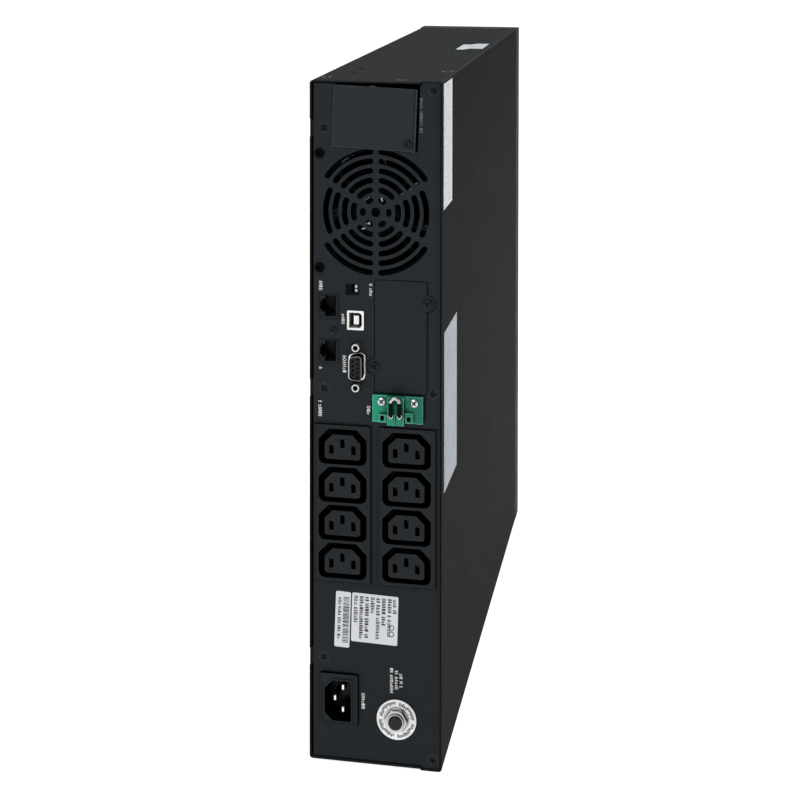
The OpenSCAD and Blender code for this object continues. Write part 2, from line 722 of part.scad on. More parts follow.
module epo_jumper_wire() {
  r = 1.25;
  lift = bezel_crown + button_proud + panel_inset - r;
  turn_z = 230.1;
  half_pitch = (epo_leg_a[1] - epo_leg_a[0]) / 2;
  color(black_plastic) at_rear(0, 0) {
    for (a = epo_leg_a) {
      translate([a, epo_entry_z, 1.5]) cylinder(h = lift - 1.5, r = r);
      translate([a, epo_entry_z, lift]) sphere(r);
      translate([a, epo_entry_z, lift]) rotate([-90, 0, 0]) cylinder(h = turn_z - epo_entry_z, r = r);
    }
    translate([epo_leg_a[0] + half_pitch, turn_z, lift])
      rotate_extrude(angle = 180) translate([half_pitch, 0]) circle(r);
  }
}

// ---- Power outlets ----
function outlet_z(row) = first_outlet_z + outlet_pitch * row;
module outlet_recess_shape() outlet_shape(outlet_w, outlet_h, 6.6, 4.2);
module outlet_core_shape() outlet_shape(core_w, core_h, 5, 1.8);
module outlet_block(side) {
  shift = core_a[side] - block_a[side];
  middle = (block_z[0] + block_z[1]) / 2;
  h = block_z[1] - block_z[0];
  rim = 0.8;
  color(black_plastic) at_rear(block_a[side], 0) difference() {
    union() {
      layer(0, 1) translate([0, middle]) rounded_box_shape(block_w, h, 1.2);
      layer(-22, 0) translate([0, middle]) square([block_w - 2, h - 2], center = true);
    }
    layer(0.6, 2) difference() {
      translate([0, middle]) rounded_box_shape(block_w - 2 * rim, h - 2 * rim, 0.8);
      for (row = [0:outlet_rows - 1]) translate([shift, outlet_z(row)]) outlet_core_shape();
    }
    for (row = [0:outlet_rows - 1]) translate([shift, outlet_z(row)]) {
      layer(-outlet_depth, 2) difference() {
        outlet_recess_shape();
        outlet_core_shape();
      }
      for (spot = contact_spots) layer(-outlet_depth, 2) translate(spot) square([2.9, 5.5], center = true);
    }
  }
}
module outlet_block_left() outlet_block(0);
module outlet_block_right() outlet_block(1);
module outlet_contacts() {
  color(brass_yellow) for (side = [0, 1], row = [0:outlet_rows - 1], spot = contact_spots)
    at_rear(core_a[side] + spot.x, outlet_z(row) + spot.y) layer(-outlet_depth, -8) difference() {
      square([2.7, 5.3], center = true);
      translate([0, 0.8]) square([1.3, 5.3], center = true);
    }
}

// ---- Mains inlet ----
module inlet_cavity_shape(grow) {
  w = 16.9 + 2 * grow;
  h = 25.3 + 2 * grow;
  cut = 5;
  rounded_shape([[-w / 2, cut - h / 2], [cut - w / 2, -h / 2], [w / 2, -h / 2], [w / 2, h / 2],
    [cut - w / 2, h / 2], [-w / 2, h / 2 - cut]], 1);
}
module inlet_housing() {
  shift = inlet_cavity_at - inlet_at;
  flange_t = 1.5;
  color(black_plastic) at_rear(inlet_at.x, inlet_at.y) difference() {
    union() {
      layer(0, flange_t) rounded_box_shape(24.2, 32, 1.5);
      layer(-22, 0) square([21, 29.5], center = true);
    }
    layer(flange_t - 0.5, 3) difference() {
      rounded_box_shape(22.2, 30, 1);
      translate(shift) inlet_cavity_shape(1);
    }
    layer(-14, 3) translate(shift) inlet_cavity_shape(0);
    for (spot = inlet_pin_spots) layer(-23, 0) translate(shift + spot) square([2.1, 4.1], center = true);
  }
}
module inlet_pins() {
  color(bright_steel) for (spot = inlet_pin_spots)
    at_rear(inlet_cavity_at.x + spot.x, inlet_cavity_at.y + spot.y)
      layer(-28, -2.2) square([2, 4], center = true);
}

// ---- Circuit breaker ----
module breaker_body() {
  color(black_plastic) at_rear(breaker_at.x, breaker_at.y) difference() {
    union() {
      layer(-panel_t - 32, -panel_t) rounded_box_shape(14, 34, 1);
      translate([0, 0, -panel_t - 0.1]) cylinder(h = panel_t + 0.1 + bushing_proud, r = bushing_r);
      for (y = breaker_terminals) layer(-panel_t - 42, -panel_t - 31)
        translate([0, y]) square([6.3, 0.8], center = true);
    }
    translate([0, 0, -12]) cylinder(h = 20, d = breaker_button_d + 2 * play);
  }
}
module breaker_dial() {
  color(label_white) at_rear(breaker_at.x, breaker_at.y) difference() {
    cylinder(h = 0.8, d = dial_d);
    translate([0, 0, -1]) cylinder(h = 3, r = bushing_r + play);
  }
}
module breaker_nut() {
  hex_r = 7.2;
  hex_h = 2.8;
  color(bright_steel) at_rear(breaker_at.x, breaker_at.y) translate([0, 0, 0.8]) difference() {
    union() {
      cylinder(h = 0.5, r = hex_r + 0.5);
      intersection() {
        cylinder(h = hex_h, r = hex_r, $fn = 6);
        cylinder(h = hex_h, r1 = 2 * hex_r, r2 = hex_r - 0.8);
      }
    }
    translate([0, 0, -1]) cylinder(h = hex_h + 2, r = bushing_r + play);
  }
}
module breaker_button() {
  proud = 6.4;
  edge = 0.7;
  color(black_plastic) at_rear(breaker_at.x, breaker_at.y) {
    translate([0, 0, -11.5]) cylinder(h = 11.5 + proud - edge, d = breaker_button_d);
    translate([0, 0, proud - edge])
      cylinder(h = edge, d1 = breaker_button_d, d2 = breaker_button_d - 2 * edge);
  }
}

// ---- Labels ----
module tilted_label(centre, size, tilt) {
  at_rear(centre.x, centre.y) rotate(tilt) layer(0, label_t) rounded_box_shape(size.x, size.y, 1);
}
module rear_labels() {
  color(label_white) {
    tilted_label([21.1, 89.9], [9.6, 35], -2);
    tilted_label([41.5, 91.7], [29.4, 30.6], -1.5);
  }
}
// Two plates on the cover, and a seal stretched over the seam of the upper side.
module cover_labels() {
  seal_a = [60, 80];
  seal_d = [213, 253];
  seal_touch = 66;
  color(label_white) {
    block([case_w, case_w + label_t], [4, 38], [case_h - 80, case_h - bend_r]);
    block([case_w, case_w + label_t], [7, 59], [171, 271]);
    along_depth(seal_d) polygon([
      [seal_a[0], case_h - cover_t], [seal_touch, case_h - cover_t], [seam_a, case_h], [seal_a[1], case_h],
      [seal_a[1], case_h + label_t], [seam_a, case_h + label_t], [seal_touch, case_h - cover_t + label_t],
      [seal_a[0], case_h - cover_t + label_t]]);
  }
}

// ---- Power electronics ----
standoff_d = [board_d[0] + 6, board_d[1] - 6];
standoff_z = [board_z[0] + 6, 210, board_z[1] - 6];
standoff_spots = [for (d = standoff_d, z = standoff_z) [d, z]];
control_standoffs = [for (d = [front_d - 130, front_d - 40], z = [340, 404]) [d, z]];
control_a = base_t + 8;
module power_board() {
  color(board_green) difference() {
    block([board_a, board_top], board_d, board_z);
    for (p = standoff_spots) on_base(board_a - 1, p[0], p[1]) cylinder(h = board_t + 2, r = 1.6);
  }
}
module board_standoffs() {
  lift = board_a - base_t;
  color(bright_steel) {
    for (p = standoff_spots) on_base(base_t, p[0], p[1]) {
      cylinder(h = lift, r = 3);
      cylinder(h = lift + board_t, r = 1.5);
      translate([0, 0, lift + board_t]) cylinder(h = 1.6, r = 2.8);
    }
    for (p = control_standoffs) on_base(base_t, p[0], p[1]) cylinder(h = control_a - base_t, r = 3);
    at_rear(comm_screw_at.x, comm_screw_at.y) translate([0, 0, panel_inset - comm_d]) difference() {
      cylinder(h = comm_d - panel_d, r = 2.4);
      translate([0, 0, -1]) cylinder(h = comm_d, r = 1.3);
    }
  }
}
sink_z = [326, 368];
sink_a = [board_top + 1, 70];
sink_d = [44, 154];
module heat_sinks() {
  fins = 9;
  fin_w = 14;
  fin_t = 1.6;
  base = 4;
  pitch = (sink_a[1] - sink_a[0] - fin_t) / (fins - 1);
  color(bright_steel) for (z = sink_z) {
    block(sink_a, sink_d, [z, z + base]);
    for (i = [0:fins - 1])
      block([sink_a[0] + pitch * i, sink_a[0] + pitch * i + fin_t], sink_d, [z + base / 2, z + base + fin_w]);
    for (d = [sink_d[0] + 10, sink_d[1] - 12])
      block([board_top, sink_a[0] + base], [d, d + 3], [z, z + base]);
  }
}
module power_transistors() {
  for (z = sink_z, d = [56:25:131]) {
    color(black_plastic) block([22, 43], [d, d + 16], [z - 5, z]);
    color(bright_steel) for (leg = [2.6, 7.4, 12.2])
      block([board_top, 22.5], [d + leg, d + leg + 1.2], [z - 3, z - 2.2]);
  }
}
module bulk_capacitors() {
  can_h = 46;
  color([0.1, 0.14, 0.3]) for (d = [60:36:168], z = [130, 166]) on_base(board_top, d, z) difference() {
    union() {
      cylinder(h = 1.5, r = 15);
      cylinder(h = can_h, r = 14.6);
    }
    for (turn = [0, 60, 120]) rotate(turn) translate([-8, -0.4, can_h - 0.6]) cube([16, 0.8, 2]);
  }
}
module power_transformer() {
  d = [140, 184];
  z = [236, 290];
  leg = 9;
  window = 10;
  color(ferrite_grey) difference() {
    block([board_top, 62], d, z);
    for (low = [z[0] + leg, z[1] - leg - window]) block([18, 53], [d[0] - 1, d[1] + 1], [low, low + window]);
  }
  color(brass_yellow) difference() {
    block([19, 52], [d[0] - 6, d[1] + 4], [z[0] + leg + 0.5, z[1] - leg - 0.5]);
    block([18, 53], [d[0] - 0.1, d[1] + 0.1], [z[0] + leg + window - 0.1, z[1] - leg - window + 0.1]);
  }
}
module choke(d, z) {
  ring_r = 17;
  turns = 16;
  half_h = 12.5;
  on_base(board_top + half_h, d, z) {
    color([0.75, 0.7, 0.2]) rotate_extrude() translate([ring_r, 0]) square([11, 22], center = true);
    color([0.72, 0.38, 0.2]) for (i = [0:turns - 1]) rotate(360 / turns * i)
      translate([ring_r, 0, 0]) cube([13.5, 3, 2 * half_h], center = true);
  }
}
module filter_chokes() {
  for (d = [84, 134]) choke(d, 42);
}
module relays() {
  color([0.15, 0.25, 0.5]) for (d = [44:28:156]) block([board_top, board_top + 16], [d, d + 24], [78, 92]);
}
module control_board() {
  top = control_a + board_t;
  color(board_green) block([control_a, top], [front_d - 138, front_d - 32], [330, 414]);
  color(black_plastic) {
    block([top, top + 2.4], [front_d - 100, front_d - 72], [360, 388]);
    for (z = [338:18:392]) block([top, top + 2], [front_d - 60, front_d - 48], [z, z + 6]);
    block([top, top + 10], [front_d - 134, front_d - 126], [346, 398]);
  }
}
module wiring() {
  pin_end = panel_inset + 28;
  live_z = inlet_cavity_at.y - inlet_pin_pitch / 2;
  neutral_z = inlet_cavity_at.y + inlet_pin_pitch / 2;
  pin_a = inlet_cavity_at.x + 2.5;
  earth_a = inlet_cavity_at.x - 2.6;
  blade_end = panel_d + 42;
  socket_back = bay_wall_d - 14;
  port_end = panel_inset + 30;
  color([0.45, 0.28, 0.12]) {
    wire_run([place(pin_a, pin_end, live_z), place(pin_a, 46, live_z),
      place(breaker_at.x, 52, breaker_at.y + breaker_terminals[0]),
      place(breaker_at.x, blade_end, breaker_at.y + breaker_terminals[0])], 1.4);
    wire_run([place(breaker_at.x, blade_end, breaker_at.y + breaker_terminals[1]),
      place(breaker_at.x, 52, breaker_at.y + breaker_terminals[1]), place(36, 52, 72),
      place(board_top, 52, 72)], 1.4);
  }
  color([0.1, 0.25, 0.6]) wire_run([place(pin_a, pin_end, neutral_z), place(pin_a, 40, neutral_z),
    place(pin_a, 45, 72), place(board_top, 45, 72)], 1.4);
  color([0.2, 0.5, 0.15]) wire_run([place(earth_a, pin_end, inlet_cavity_at.y),
    place(earth_a, 33, inlet_cavity_at.y), place(12, 33, 60), place(12, 26, 66), place(base_t, 26, 66)], 1.2);
  color([0.6, 0.06, 0.05]) wire_run([place(34.5, port_end, case_h - 24), place(34.5, 40, case_h - 24),
    place(76, 60, case_h - 24), place(76, 165, 380), place(76, 165, 240), place(44, 168, 218),
    place(44, socket_back, 218)], 2);
  color(black_plastic) wire_run([place(49.5, port_end, case_h - 24), place(49.5, 38, case_h - 24),
    place(80.5, 60, case_h - 16), place(80.5, 165, 392), place(80.5, 160, 230), place(38, 162, 206),
    place(38, socket_back, 206)], 2);
}

// ---- Battery drawer ----
module drawer_guides() {
  d = [drawer_d[0], front_d - 3];
  gap = 0.2;
  color(label_white) {
    for (z = [30, 270]) block([base_t, drawer_a[0] - gap], d, [z, z + 20]);
    block([24, 44], d, [side_t, drawer_z[0] - gap]);
    block([24, 44], d, [drawer_z[1] + gap, bay_top]);
  }
}
module battery_tray() {
  wall = 1;
  side_a = [drawer_a[0], 56];
  color(bright_steel) difference() {
    union() {
      block([drawer_a[0], drawer_a[0] + wall], drawer_d, drawer_z);
      for (z = [drawer_z[0], drawer_z[1] - wall]) block(side_a, drawer_d, [z, z + wall]);
      block(side_a, [drawer_d[0], drawer_d[0] + wall], drawer_z);
      block(drawer_a, [drawer_d[1] - wall, drawer_d[1]], drawer_z);
    }
    for (z = [60, 162, 264], d = [drawer_d[0] + 50, drawer_d[0] + 160])
      on_base(0, d, z) cylinder(h = 6, r = 14);
  }
}
// The children once per battery, from its low corner. The terminals of the two rows face each other.
module each_battery() {
  clear = 1.5;
  rows = [drawer_d[0] + clear, drawer_d[1] - clear];
  for (z = [drawer_z[0] + clear, drawer_z[1] - clear - battery_l]) {
    translate(place(battery_a, rows[0], z)) children();
    translate(place(battery_a, rows[1], z)) mirror([0, 1, 0]) children();
  }
}
battery_wall = 3;
module battery_cases() {
  wall = battery_wall;
  inside = [battery_w - 2 * wall, battery_h, battery_l - 2 * wall];
  each_battery() {
    color(ferrite_grey) difference() {
      cube([battery_w, battery_h, battery_l]);
      translate([wall, wall, wall]) cube(inside);
    }
    color(ferrite_grey) translate([wall + play, battery_h - 4, wall + play])
      cube([inside.x - 2 * play, 4, inside.z - 2 * play]);
    color(bright_steel) for (z = [9, battery_l - 15]) translate([12, battery_h, z]) cube([0.8, 7, 6]);
  }
}
module battery_plates() {
  cells = 6;
  cell = (battery_l - 2 * battery_wall) / cells;
  plate_pack = 13.5;
  color([0.4, 0.4, 0.42]) each_battery() for (i = [0:cells - 1])
    translate([battery_wall + 2, battery_wall, battery_wall + cell * i + (cell - plate_pack) / 2])
      cube([battery_w - 2 * battery_wall - 4, battery_h - 20, plate_pack]);
}
module drawer_socket() {
  wall = 1.5;
  color(connector_red) difference() {
    block(socket_a, [bay_wall_d - 14, bay_wall_d], socket_z);
    block([socket_a[0] + wall, socket_a[1] - wall], [bay_wall_d - 11, bay_wall_d + 1],
      [socket_z[0] + wall, socket_z[1] - wall]);
  }
}
module drawer_plug() {
  inset = 2;
  color(connector_red) block([socket_a[0] + inset, socket_a[1] - inset], [drawer_d[0] - 12, drawer_d[0]],
    [socket_z[0] + inset, socket_z[1] - inset]);
}

// ---- Front ----
front_wall = 2.4;
// Crowned front outline, from the seam with the case to the bulge in the middle.
module crown_shape() {
  intersection() {
    translate([-case_w / 2, rear_y + front_d]) square([case_w, bezel_d + bezel_crown]);
    translate([0, rear_y + pod_face_d - crown_r]) circle(crown_r);
  }
}
// Crowned solid between two heights. It slopes back to the case outline at the case's own ends.
module front_solid(z0, z1) {
  slope_y = rear_y + case_d;
  back_y = rear_y + front_d;
  low = cover_t;
  high = case_h - cover_t;
  intersection() {
    translate([0, 0, z0]) linear_extrude(z1 - z0) crown_shape();
    translate([-case_w, 0, 0]) rotate([90, 0, 90]) linear_extrude(2 * case_w) polygon([
      [back_y, low], [slope_y, low], [slope_y + bezel_crown, low + bezel_crown],
      [slope_y + bezel_crown, high - bezel_crown], [slope_y, high], [back_y, high]]);
  }
}
module front_shell(z0, z1) {
  inner_w = case_w - 2 * front_wall;
  difference() {
    front_solid(z0, z1);
    intersection() {
      translate([0, -front_wall, 0]) front_solid(z0 + front_wall, z1 - front_wall);
      translate([-inner_w / 2, rear_y, 0]) cube([inner_w, 2 * case_d, case_h]);
    }
  }
}
module drawer_front() {
  slots = 15;
  top = bay_top - 0.6;
  color(black_plastic) difference() {
    union() {
      front_shell(cover_t, top);
      for (z = [22, top - 22]) at_front(case_w / 2, front_d, z) cylinder(h = bezel_d, r = 5);
    }
    for (i = [0:slots - 1], a = [12, 48])
      block([a, a + 24], [case_d - 8, case_d + 20], [40 + 17 * i, 44 + 17 * i]);
  }
}
module display_bezel() {
  color(black_plastic) difference() {
    front_shell(bay_top, case_h - cover_t);
    at_front(case_w / 2, front_d + 1, pod_z) cylinder(h = 60, r = pod_r + play);
    for (i = [-1:1])
      at_front(case_w / 2 + button_pitch * i, front_d + 1, button_z) cylinder(h = 60, r = button_r + 0.1);
  }
}
module display_pod() {
  face_t = 3;
  length = pod_face_d - front_d - 2;
  color(black_plastic) at_front(case_w / 2, front_d + 2, pod_z) difference() {
    cylinder(h = length, r = pod_r);
    translate([0, 0, -1]) cylinder(h = length - face_t + 1, r = pod_r - 3);
    layer(length - face_t - 1, 60) rounded_box_shape(42, 28, 2);
  }
}
module display_screen() {
  face = pod_face_d - front_d - 2;
  color([0.12, 0.2, 0.3]) at_front(case_w / 2, front_d + 2, pod_z) {
    layer(face - 8, face - 3) square([42, 32], center = true);
    layer(face - 3.5, face - 0.5) rounded_box_shape(41.8, 27.8, 1.9);
  }
}
module front_button(i) {
  x = button_pitch * i;
  crown = bezel_crown - crown_r + sqrt(crown_r * crown_r - x * x);
  color(black_plastic) at_front(case_w / 2 + x, case_d - 6, button_z)
    cylinder(h = 6 + crown + button_proud, r = button_r);
}
module power_button() front_button(-1);
module mute_button() front_button(0);
module select_button() front_button(1);

chassis_base();
top_cover();
rear_panel();
front_plate();
bay_divider();
case_screws();
panel_screws();
battery_port_cover();
battery_port_socket();
card_slot_cover();
card_cage();
fan_frame();
fan_rotor();
comm_board();
surge_jacks();
dip_switch_body();
dip_slider_1();
dip_slider_2();
usb_port();
serial_shell();
serial_insert();
serial_jackscrews();
epo_header();
epo_header_screws();
epo_plug();
epo_jumper_wire();
outlet_block_left();
outlet_block_right();
outlet_contacts();
inlet_housing();
inlet_pins();
breaker_body();
breaker_dial();
breaker_nut();
breaker_button();
rear_labels();
cover_labels();
power_board();
board_standoffs();
heat_sinks();
power_transistors();
bulk_capacitors();
power_transformer();
filter_chokes();
relays();
control_board();
wiring();
drawer_guides();
battery_tray();
battery_cases();
battery_plates();
drawer_socket();
drawer_plug();
drawer_front();
display_bezel();
display_pod();
display_screen();
power_button();
mute_button();
select_button();
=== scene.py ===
import math
import random

import bmesh
import bpy
from mathutils import Matrix, Vector


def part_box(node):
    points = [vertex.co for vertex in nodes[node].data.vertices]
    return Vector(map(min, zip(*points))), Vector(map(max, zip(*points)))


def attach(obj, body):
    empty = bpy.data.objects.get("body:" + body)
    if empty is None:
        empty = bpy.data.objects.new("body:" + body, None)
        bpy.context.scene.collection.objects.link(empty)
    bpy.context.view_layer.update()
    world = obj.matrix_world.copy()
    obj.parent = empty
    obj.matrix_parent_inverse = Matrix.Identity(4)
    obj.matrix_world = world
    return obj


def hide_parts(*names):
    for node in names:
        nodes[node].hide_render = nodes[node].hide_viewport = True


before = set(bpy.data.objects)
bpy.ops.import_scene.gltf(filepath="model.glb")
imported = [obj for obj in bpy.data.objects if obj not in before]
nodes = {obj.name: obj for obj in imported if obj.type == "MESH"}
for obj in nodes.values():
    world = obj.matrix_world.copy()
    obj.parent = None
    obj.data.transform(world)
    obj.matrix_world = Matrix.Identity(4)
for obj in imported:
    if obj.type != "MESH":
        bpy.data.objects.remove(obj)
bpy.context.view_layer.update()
random.seed(7)
MM = 0.001

# The case's own corner: left edge of the base sheet, rear edge, lowest face.
case_lo, case_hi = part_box("top_cover")
base_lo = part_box("chassis_base")[0]
LEFT, REAR, LOW = base_lo.x, base_lo.y, case_lo.z
HEIGHT = case_hi.z - LOW
PANEL_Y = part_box("rear_panel")[0].y


def at(a, d, z):
    """A place in metres from millimetres across, in from the rear edge, and up."""
    return Vector((LEFT + a * MM, REAR + d * MM, LOW + z * MM))


# Places that the materials refer to, in millimetres in the row frame.
REAR_MM, RIGHT_MM, TOP_MM = REAR / MM, case_hi.x / MM, case_hi.z / MM
LEFT_MM, LOW_MM = LEFT / MM, LOW / MM
FAN_SCREW_X = -31.0
# The serial connector's middle, across and up from the case's own corner, and then in the row frame.
SERIAL_A, SERIAL_Z = 30, 249.3
SERIAL = Vector((LEFT_MM + SERIAL_A, 0, LOW_MM + SERIAL_Z))
JACKSCREW_REACH = 12.5
# Raised pieces on the panel: lowest and highest corner in metres, and how many millimetres the painted
# shade reaches to the right and upwards.
SHADOWS = [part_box("outlet_block_left") + (1.9, 1.3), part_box("outlet_block_right") + (1.9, 1.3),
           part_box("inlet_housing") + (1.4, 1.0), (at(41.4, 0, 233.5), at(74.0, 0, 303.7), 1.4, 0.2),
           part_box("epo_header") + (1.2, 0.9)]
# Painted glints on the upper side, on the rims of two dents, the notch and a cover screw: across and in
# from the case's own corner, and radius.
GLINT_RIMS = ((5.4, 16.7, 1.7), (9.4, 17.4, 1.7), (56.5, 11.8, 2.6), (78.2, 57.5, 3.4))
# Painted light and shade on the case's sheet: the wide sides' black is painted darker, as in shade, and the
# upper and lower sides' black lighter and bluer, as lit.
SHADED_SIDE_BLACK = (0.0071, 0.0071, 0.0075)
LIT_TOP_BLACK = (0.0165, 0.0199, 0.0226)


# ---------------------------------------------------------------- materials
class Shader:
    """A small helper round one material's node tree, with coordinates in millimetres."""

    def __init__(self, name):
        self.mat = bpy.data.materials.new(name)
        self.mat.use_nodes = True
        self.tree = self.mat.node_tree
        self.tree.nodes.clear()
        self.out = self.add("ShaderNodeOutputMaterial")
        self.bsdf = self.add("ShaderNodeBsdfPrincipled")
        self.tree.links.new(self.bsdf.outputs[0], self.out.inputs[0])
        coords = self.add("ShaderNodeTexCoord")
        self.mm = self.vmath("MULTIPLY", coords.outputs["Object"], (1000, 1000, 1000))

    def add(self, kind, **props):
        n = self.tree.nodes.new(kind)
        for k, v in props.items():
            setattr(n, k, v)
        return n

    def put(self, socket, value):
        if isinstance(value, bpy.types.NodeSocket):
            self.tree.links.new(value, socket)
        else:
            socket.default_value = value

    def vmath(self, op, a, b):
        n = self.add("ShaderNodeVectorMath", operation=op)
        self.put(n.inputs[0], a)
        self.put(n.inputs[1], b)
        return n.outputs["Vector"]

    def math(self, op, a, b=0.0, clamp=False):
        n = self.add("ShaderNodeMath", operation=op, use_clamp=clamp)
        self.put(n.inputs[0], a)
        self.put(n.inputs[1], b)
        return n.outputs[0]

    def noise(self, scale, detail=3.0, stretch=(1, 1, 1), rough=0.55):
        v = self.vmath("MULTIPLY", self.mm, stretch)
        n = self.add("ShaderNodeTexNoise")
        self.put(n.inputs["Vector"], v)
        self.put(n.inputs["Scale"], scale)
        self.put(n.inputs["Detail"], detail)
        self.put(n.inputs["Roughness"], rough)
        return n.outputs["Fac"]

    def range(self, value, lo, hi, to_lo, to_hi):
        n = self.add("ShaderNodeMapRange")
        self.put(n.inputs["Value"], value)
        for key, v in (("From Min", lo), ("From Max", hi), ("To Min", to_lo), ("To Max", to_hi)):
            self.put(n.inputs[key], v)
        return n.outputs["Result"]

    def mix(self, fac, a, b):
        n = self.add("ShaderNodeMix", data_type="RGBA")
        self.put(n.inputs[0], fac)
        self.put(n.inputs[6], a)
        self.put(n.inputs[7], b)
        return n.outputs[2]

    def bump(self, height, strength, distance_mm):
        n = self.add("ShaderNodeBump")
        self.put(n.inputs["Strength"], strength)
        self.put(n.inputs["Distance"], distance_mm * MM)
        self.put(n.inputs["Height"], height)
        return n.outputs[0]

    def edge(self, radius_mm):
        """1 near a convex or concave edge, 0 on flats."""
        bevel = self.add("ShaderNodeBevel", samples=4)
        self.put(bevel.inputs["Radius"], radius_mm * MM)
        geo = self.add("ShaderNodeNewGeometry")
        n = self.add("ShaderNodeVectorMath", operation="DOT_PRODUCT")
        self.put(n.inputs[0], bevel.outputs[0])
        self.put(n.inputs[1], geo.outputs["Normal"])
        return self.range(n.outputs["Value"], 1.0, 0.6, 0.0, 1.0)

    def open_sky(self, reach_mm, lo=0.35, hi=0.85):
        """1 on open faces, 0 down in holes, gaps and corners."""
        n = self.add("ShaderNodeAmbientOcclusion", samples=8)
        self.put(n.inputs["Distance"], reach_mm * MM)
        return self.range(n.outputs["AO"], lo, hi, 0.0, 1.0)

    def facing(self, axis, sign, lo=0.5, hi=0.9):
        """1 on faces that look along an axis, 0 on faces that look away."""
        parts = self.add("ShaderNodeSeparateXYZ")
        self.put(parts.inputs[0], self.add("ShaderNodeNewGeometry").outputs["True Normal"])
        return self.range(self.math("MULTIPLY", parts.outputs[axis], sign), lo, hi, 0.0, 1.0)

    def off_line(self, keep, point):
        """Millimetres from a line through a point. keep has a 0 for the axis the line runs along."""
        n = self.add("ShaderNodeVectorMath", operation="DISTANCE")
        self.put(n.inputs[0], self.vmath("MULTIPLY", self.mm, keep))
        self.put(n.inputs[1], point)
        return n.outputs["Value"]

    def coord(self, axis):
        parts = self.add("ShaderNodeSeparateXYZ")
        self.put(parts.inputs[0], self.mm)
        return parts.outputs[axis]

    def set(self, **values):
        for key, v in values.items():
            self.put(self.bsdf.inputs[key.replace("_", " ")], v)
        return self.mat


def rgb(color, k=1.0):
    return tuple(min(1.0, c * k) for c in color[:3]) + (1.0,)


def coated(name, color, rough=0.5, grain=1.6, grain_depth=0.02, spread=0.12, wear_and_highlight=0.25,
           wear_and_highlight_color=(0.2, 0.21, 0.22), specular=0.5, cloud=0.02, coat=0.0,
           edge_mm=0.35, uneven=0.08, shade=None, lit=None):
    """Painted or moulded surface: cloudy tone, fine grain, uneven gloss, and lighter edges that stand
    for both rubbed wear and painted highlights.

    shade is a function of the shader and the tone that returns a changed tone. lit is a function
    of the shader that returns 1 where the surface is open and 0 where it is in deep shade, and there
    the colour is painted dark as shade. specular is a number or a function of the shader."""
    s = Shader(name)
    tone = s.mix(s.range(s.noise(cloud, 4), 0.3, 0.7, 0, 1), rgb(color, 1 - spread), rgb(color, 1 + spread))
    fleck = s.range(s.noise(grain * 0.8, 2), 0.35, 0.65, 0, 1)
    tone = s.mix(s.math("MULTIPLY", fleck, 0.25), tone, rgb(color, 1 + 2.5 * spread))
    if shade:
        tone = shade(s, tone)
    if wear_and_highlight:
        broken = s.range(s.noise(0.35, 5), 0.42, 0.62, 0.3, 1)
        edge = s.math("MULTIPLY", s.edge(edge_mm), s.math("MULTIPLY", broken, wear_and_highlight))
        tone = s.mix(edge, tone, rgb(wear_and_highlight_color))
    if callable(specular):
        specular = specular(s)
    if lit:
        open_part = lit(s)
        tone = s.mix(open_part, rgb(color, 0.12), tone)
        specular = s.math("MULTIPLY", open_part, specular)
    smudge = s.noise(0.06, 5, rough=0.7)
    gloss = s.range(smudge, 0.3, 0.7, max(0.02, rough - uneven), min(1, rough + uneven))
    normal = s.bump(s.noise(grain, 2), 0.6, grain_depth)
    return s.set(Base_Color=tone, Roughness=gloss, Normal=normal, Specular_IOR_Level=specular,
                 Coat_Weight=coat)


def panel_coat(name, shade):
    return coated(name, (0.0073, 0.0111, 0.0145), rough=0.5, grain=1.1, grain_depth=0.02, spread=0.04,
                  wear_and_highlight=0.4, wear_and_highlight_color=(0.04, 0.05, 0.06), specular=0.13, uneven=0.03, shade=shade, lit=painted_seam_shade)


def metal(name, color, rough=0.32, streak=(1, 1, 14), scale=0.5, depth=0.012, spread=0.1, lit=None):
    """Plated or brushed metal with fine streaks and dull patches. Where lit gives 0, its colour is
    painted near black and it reflects nothing, as painted deep shade.
    """
    s = Shader(name)
    lines = s.noise(scale, 3, stretch=streak)
    patch = s.noise(0.08, 4)
    tone = s.mix(s.range(patch, 0.35, 0.65, 0, 1), rgb(color, 1 - spread), rgb(color, 1 + spread))
    tone = s.mix(s.math("MULTIPLY", s.range(lines, 0.3, 0.7, 0, 1), 0.2), tone, rgb(color, 0.7))
    open_part = 1.0
    if lit:
        open_part = lit(s)
        tone = s.mix(open_part, rgb(color, 0.01), tone)
    gloss = s.range(s.noise(0.25, 4), 0.3, 0.7, rough - 0.07, rough + 0.12)
    return s.set(Base_Color=tone, Metallic=open_part, Specular_IOR_Level=open_part, Roughness=gloss,
                 Normal=s.bump(lines, 0.5, depth))


def label_looks(s, tone):
    """The lower plate on the cover is blue-grey, and the seal is white. The plates carry fine lines."""
    lines = s.range(s.noise(1.5, 2, stretch=(0, 1.6, 0.02)), 0.44, 0.52, 0.0, 1.0)
    broken = s.range(s.noise(0.7, 2, stretch=(0, 0.3, 1)), 0.4, 0.5, 0.0, 1.0)
    margin = s.range(s.coord("Y"), REAR_MM + 30, REAR_MM + 32, 1.0, 0.4)
    amount = s.math("MULTIPLY", s.math("MULTIPLY", lines, broken), margin)
    base = s.mix(s.range(s.coord("Z"), 299, 301, 0.0, 1.0), rgb((0.228, 0.262, 0.302)), tone)
    side = s.mix(s.math("MULTIPLY", amount, 0.5), base, rgb((0.1, 0.11, 0.13)))
    patchy = s.range(s.noise(0.35, 3, stretch=(0.4, 1, 1)), 0.4, 0.6, 0.0, 1.0)
    return s.mix(s.facing("Z", 1.0), side, s.mix(patchy, rgb((0.95, 0.97, 1.0)), rgb((0.62, 0.66, 0.74))))


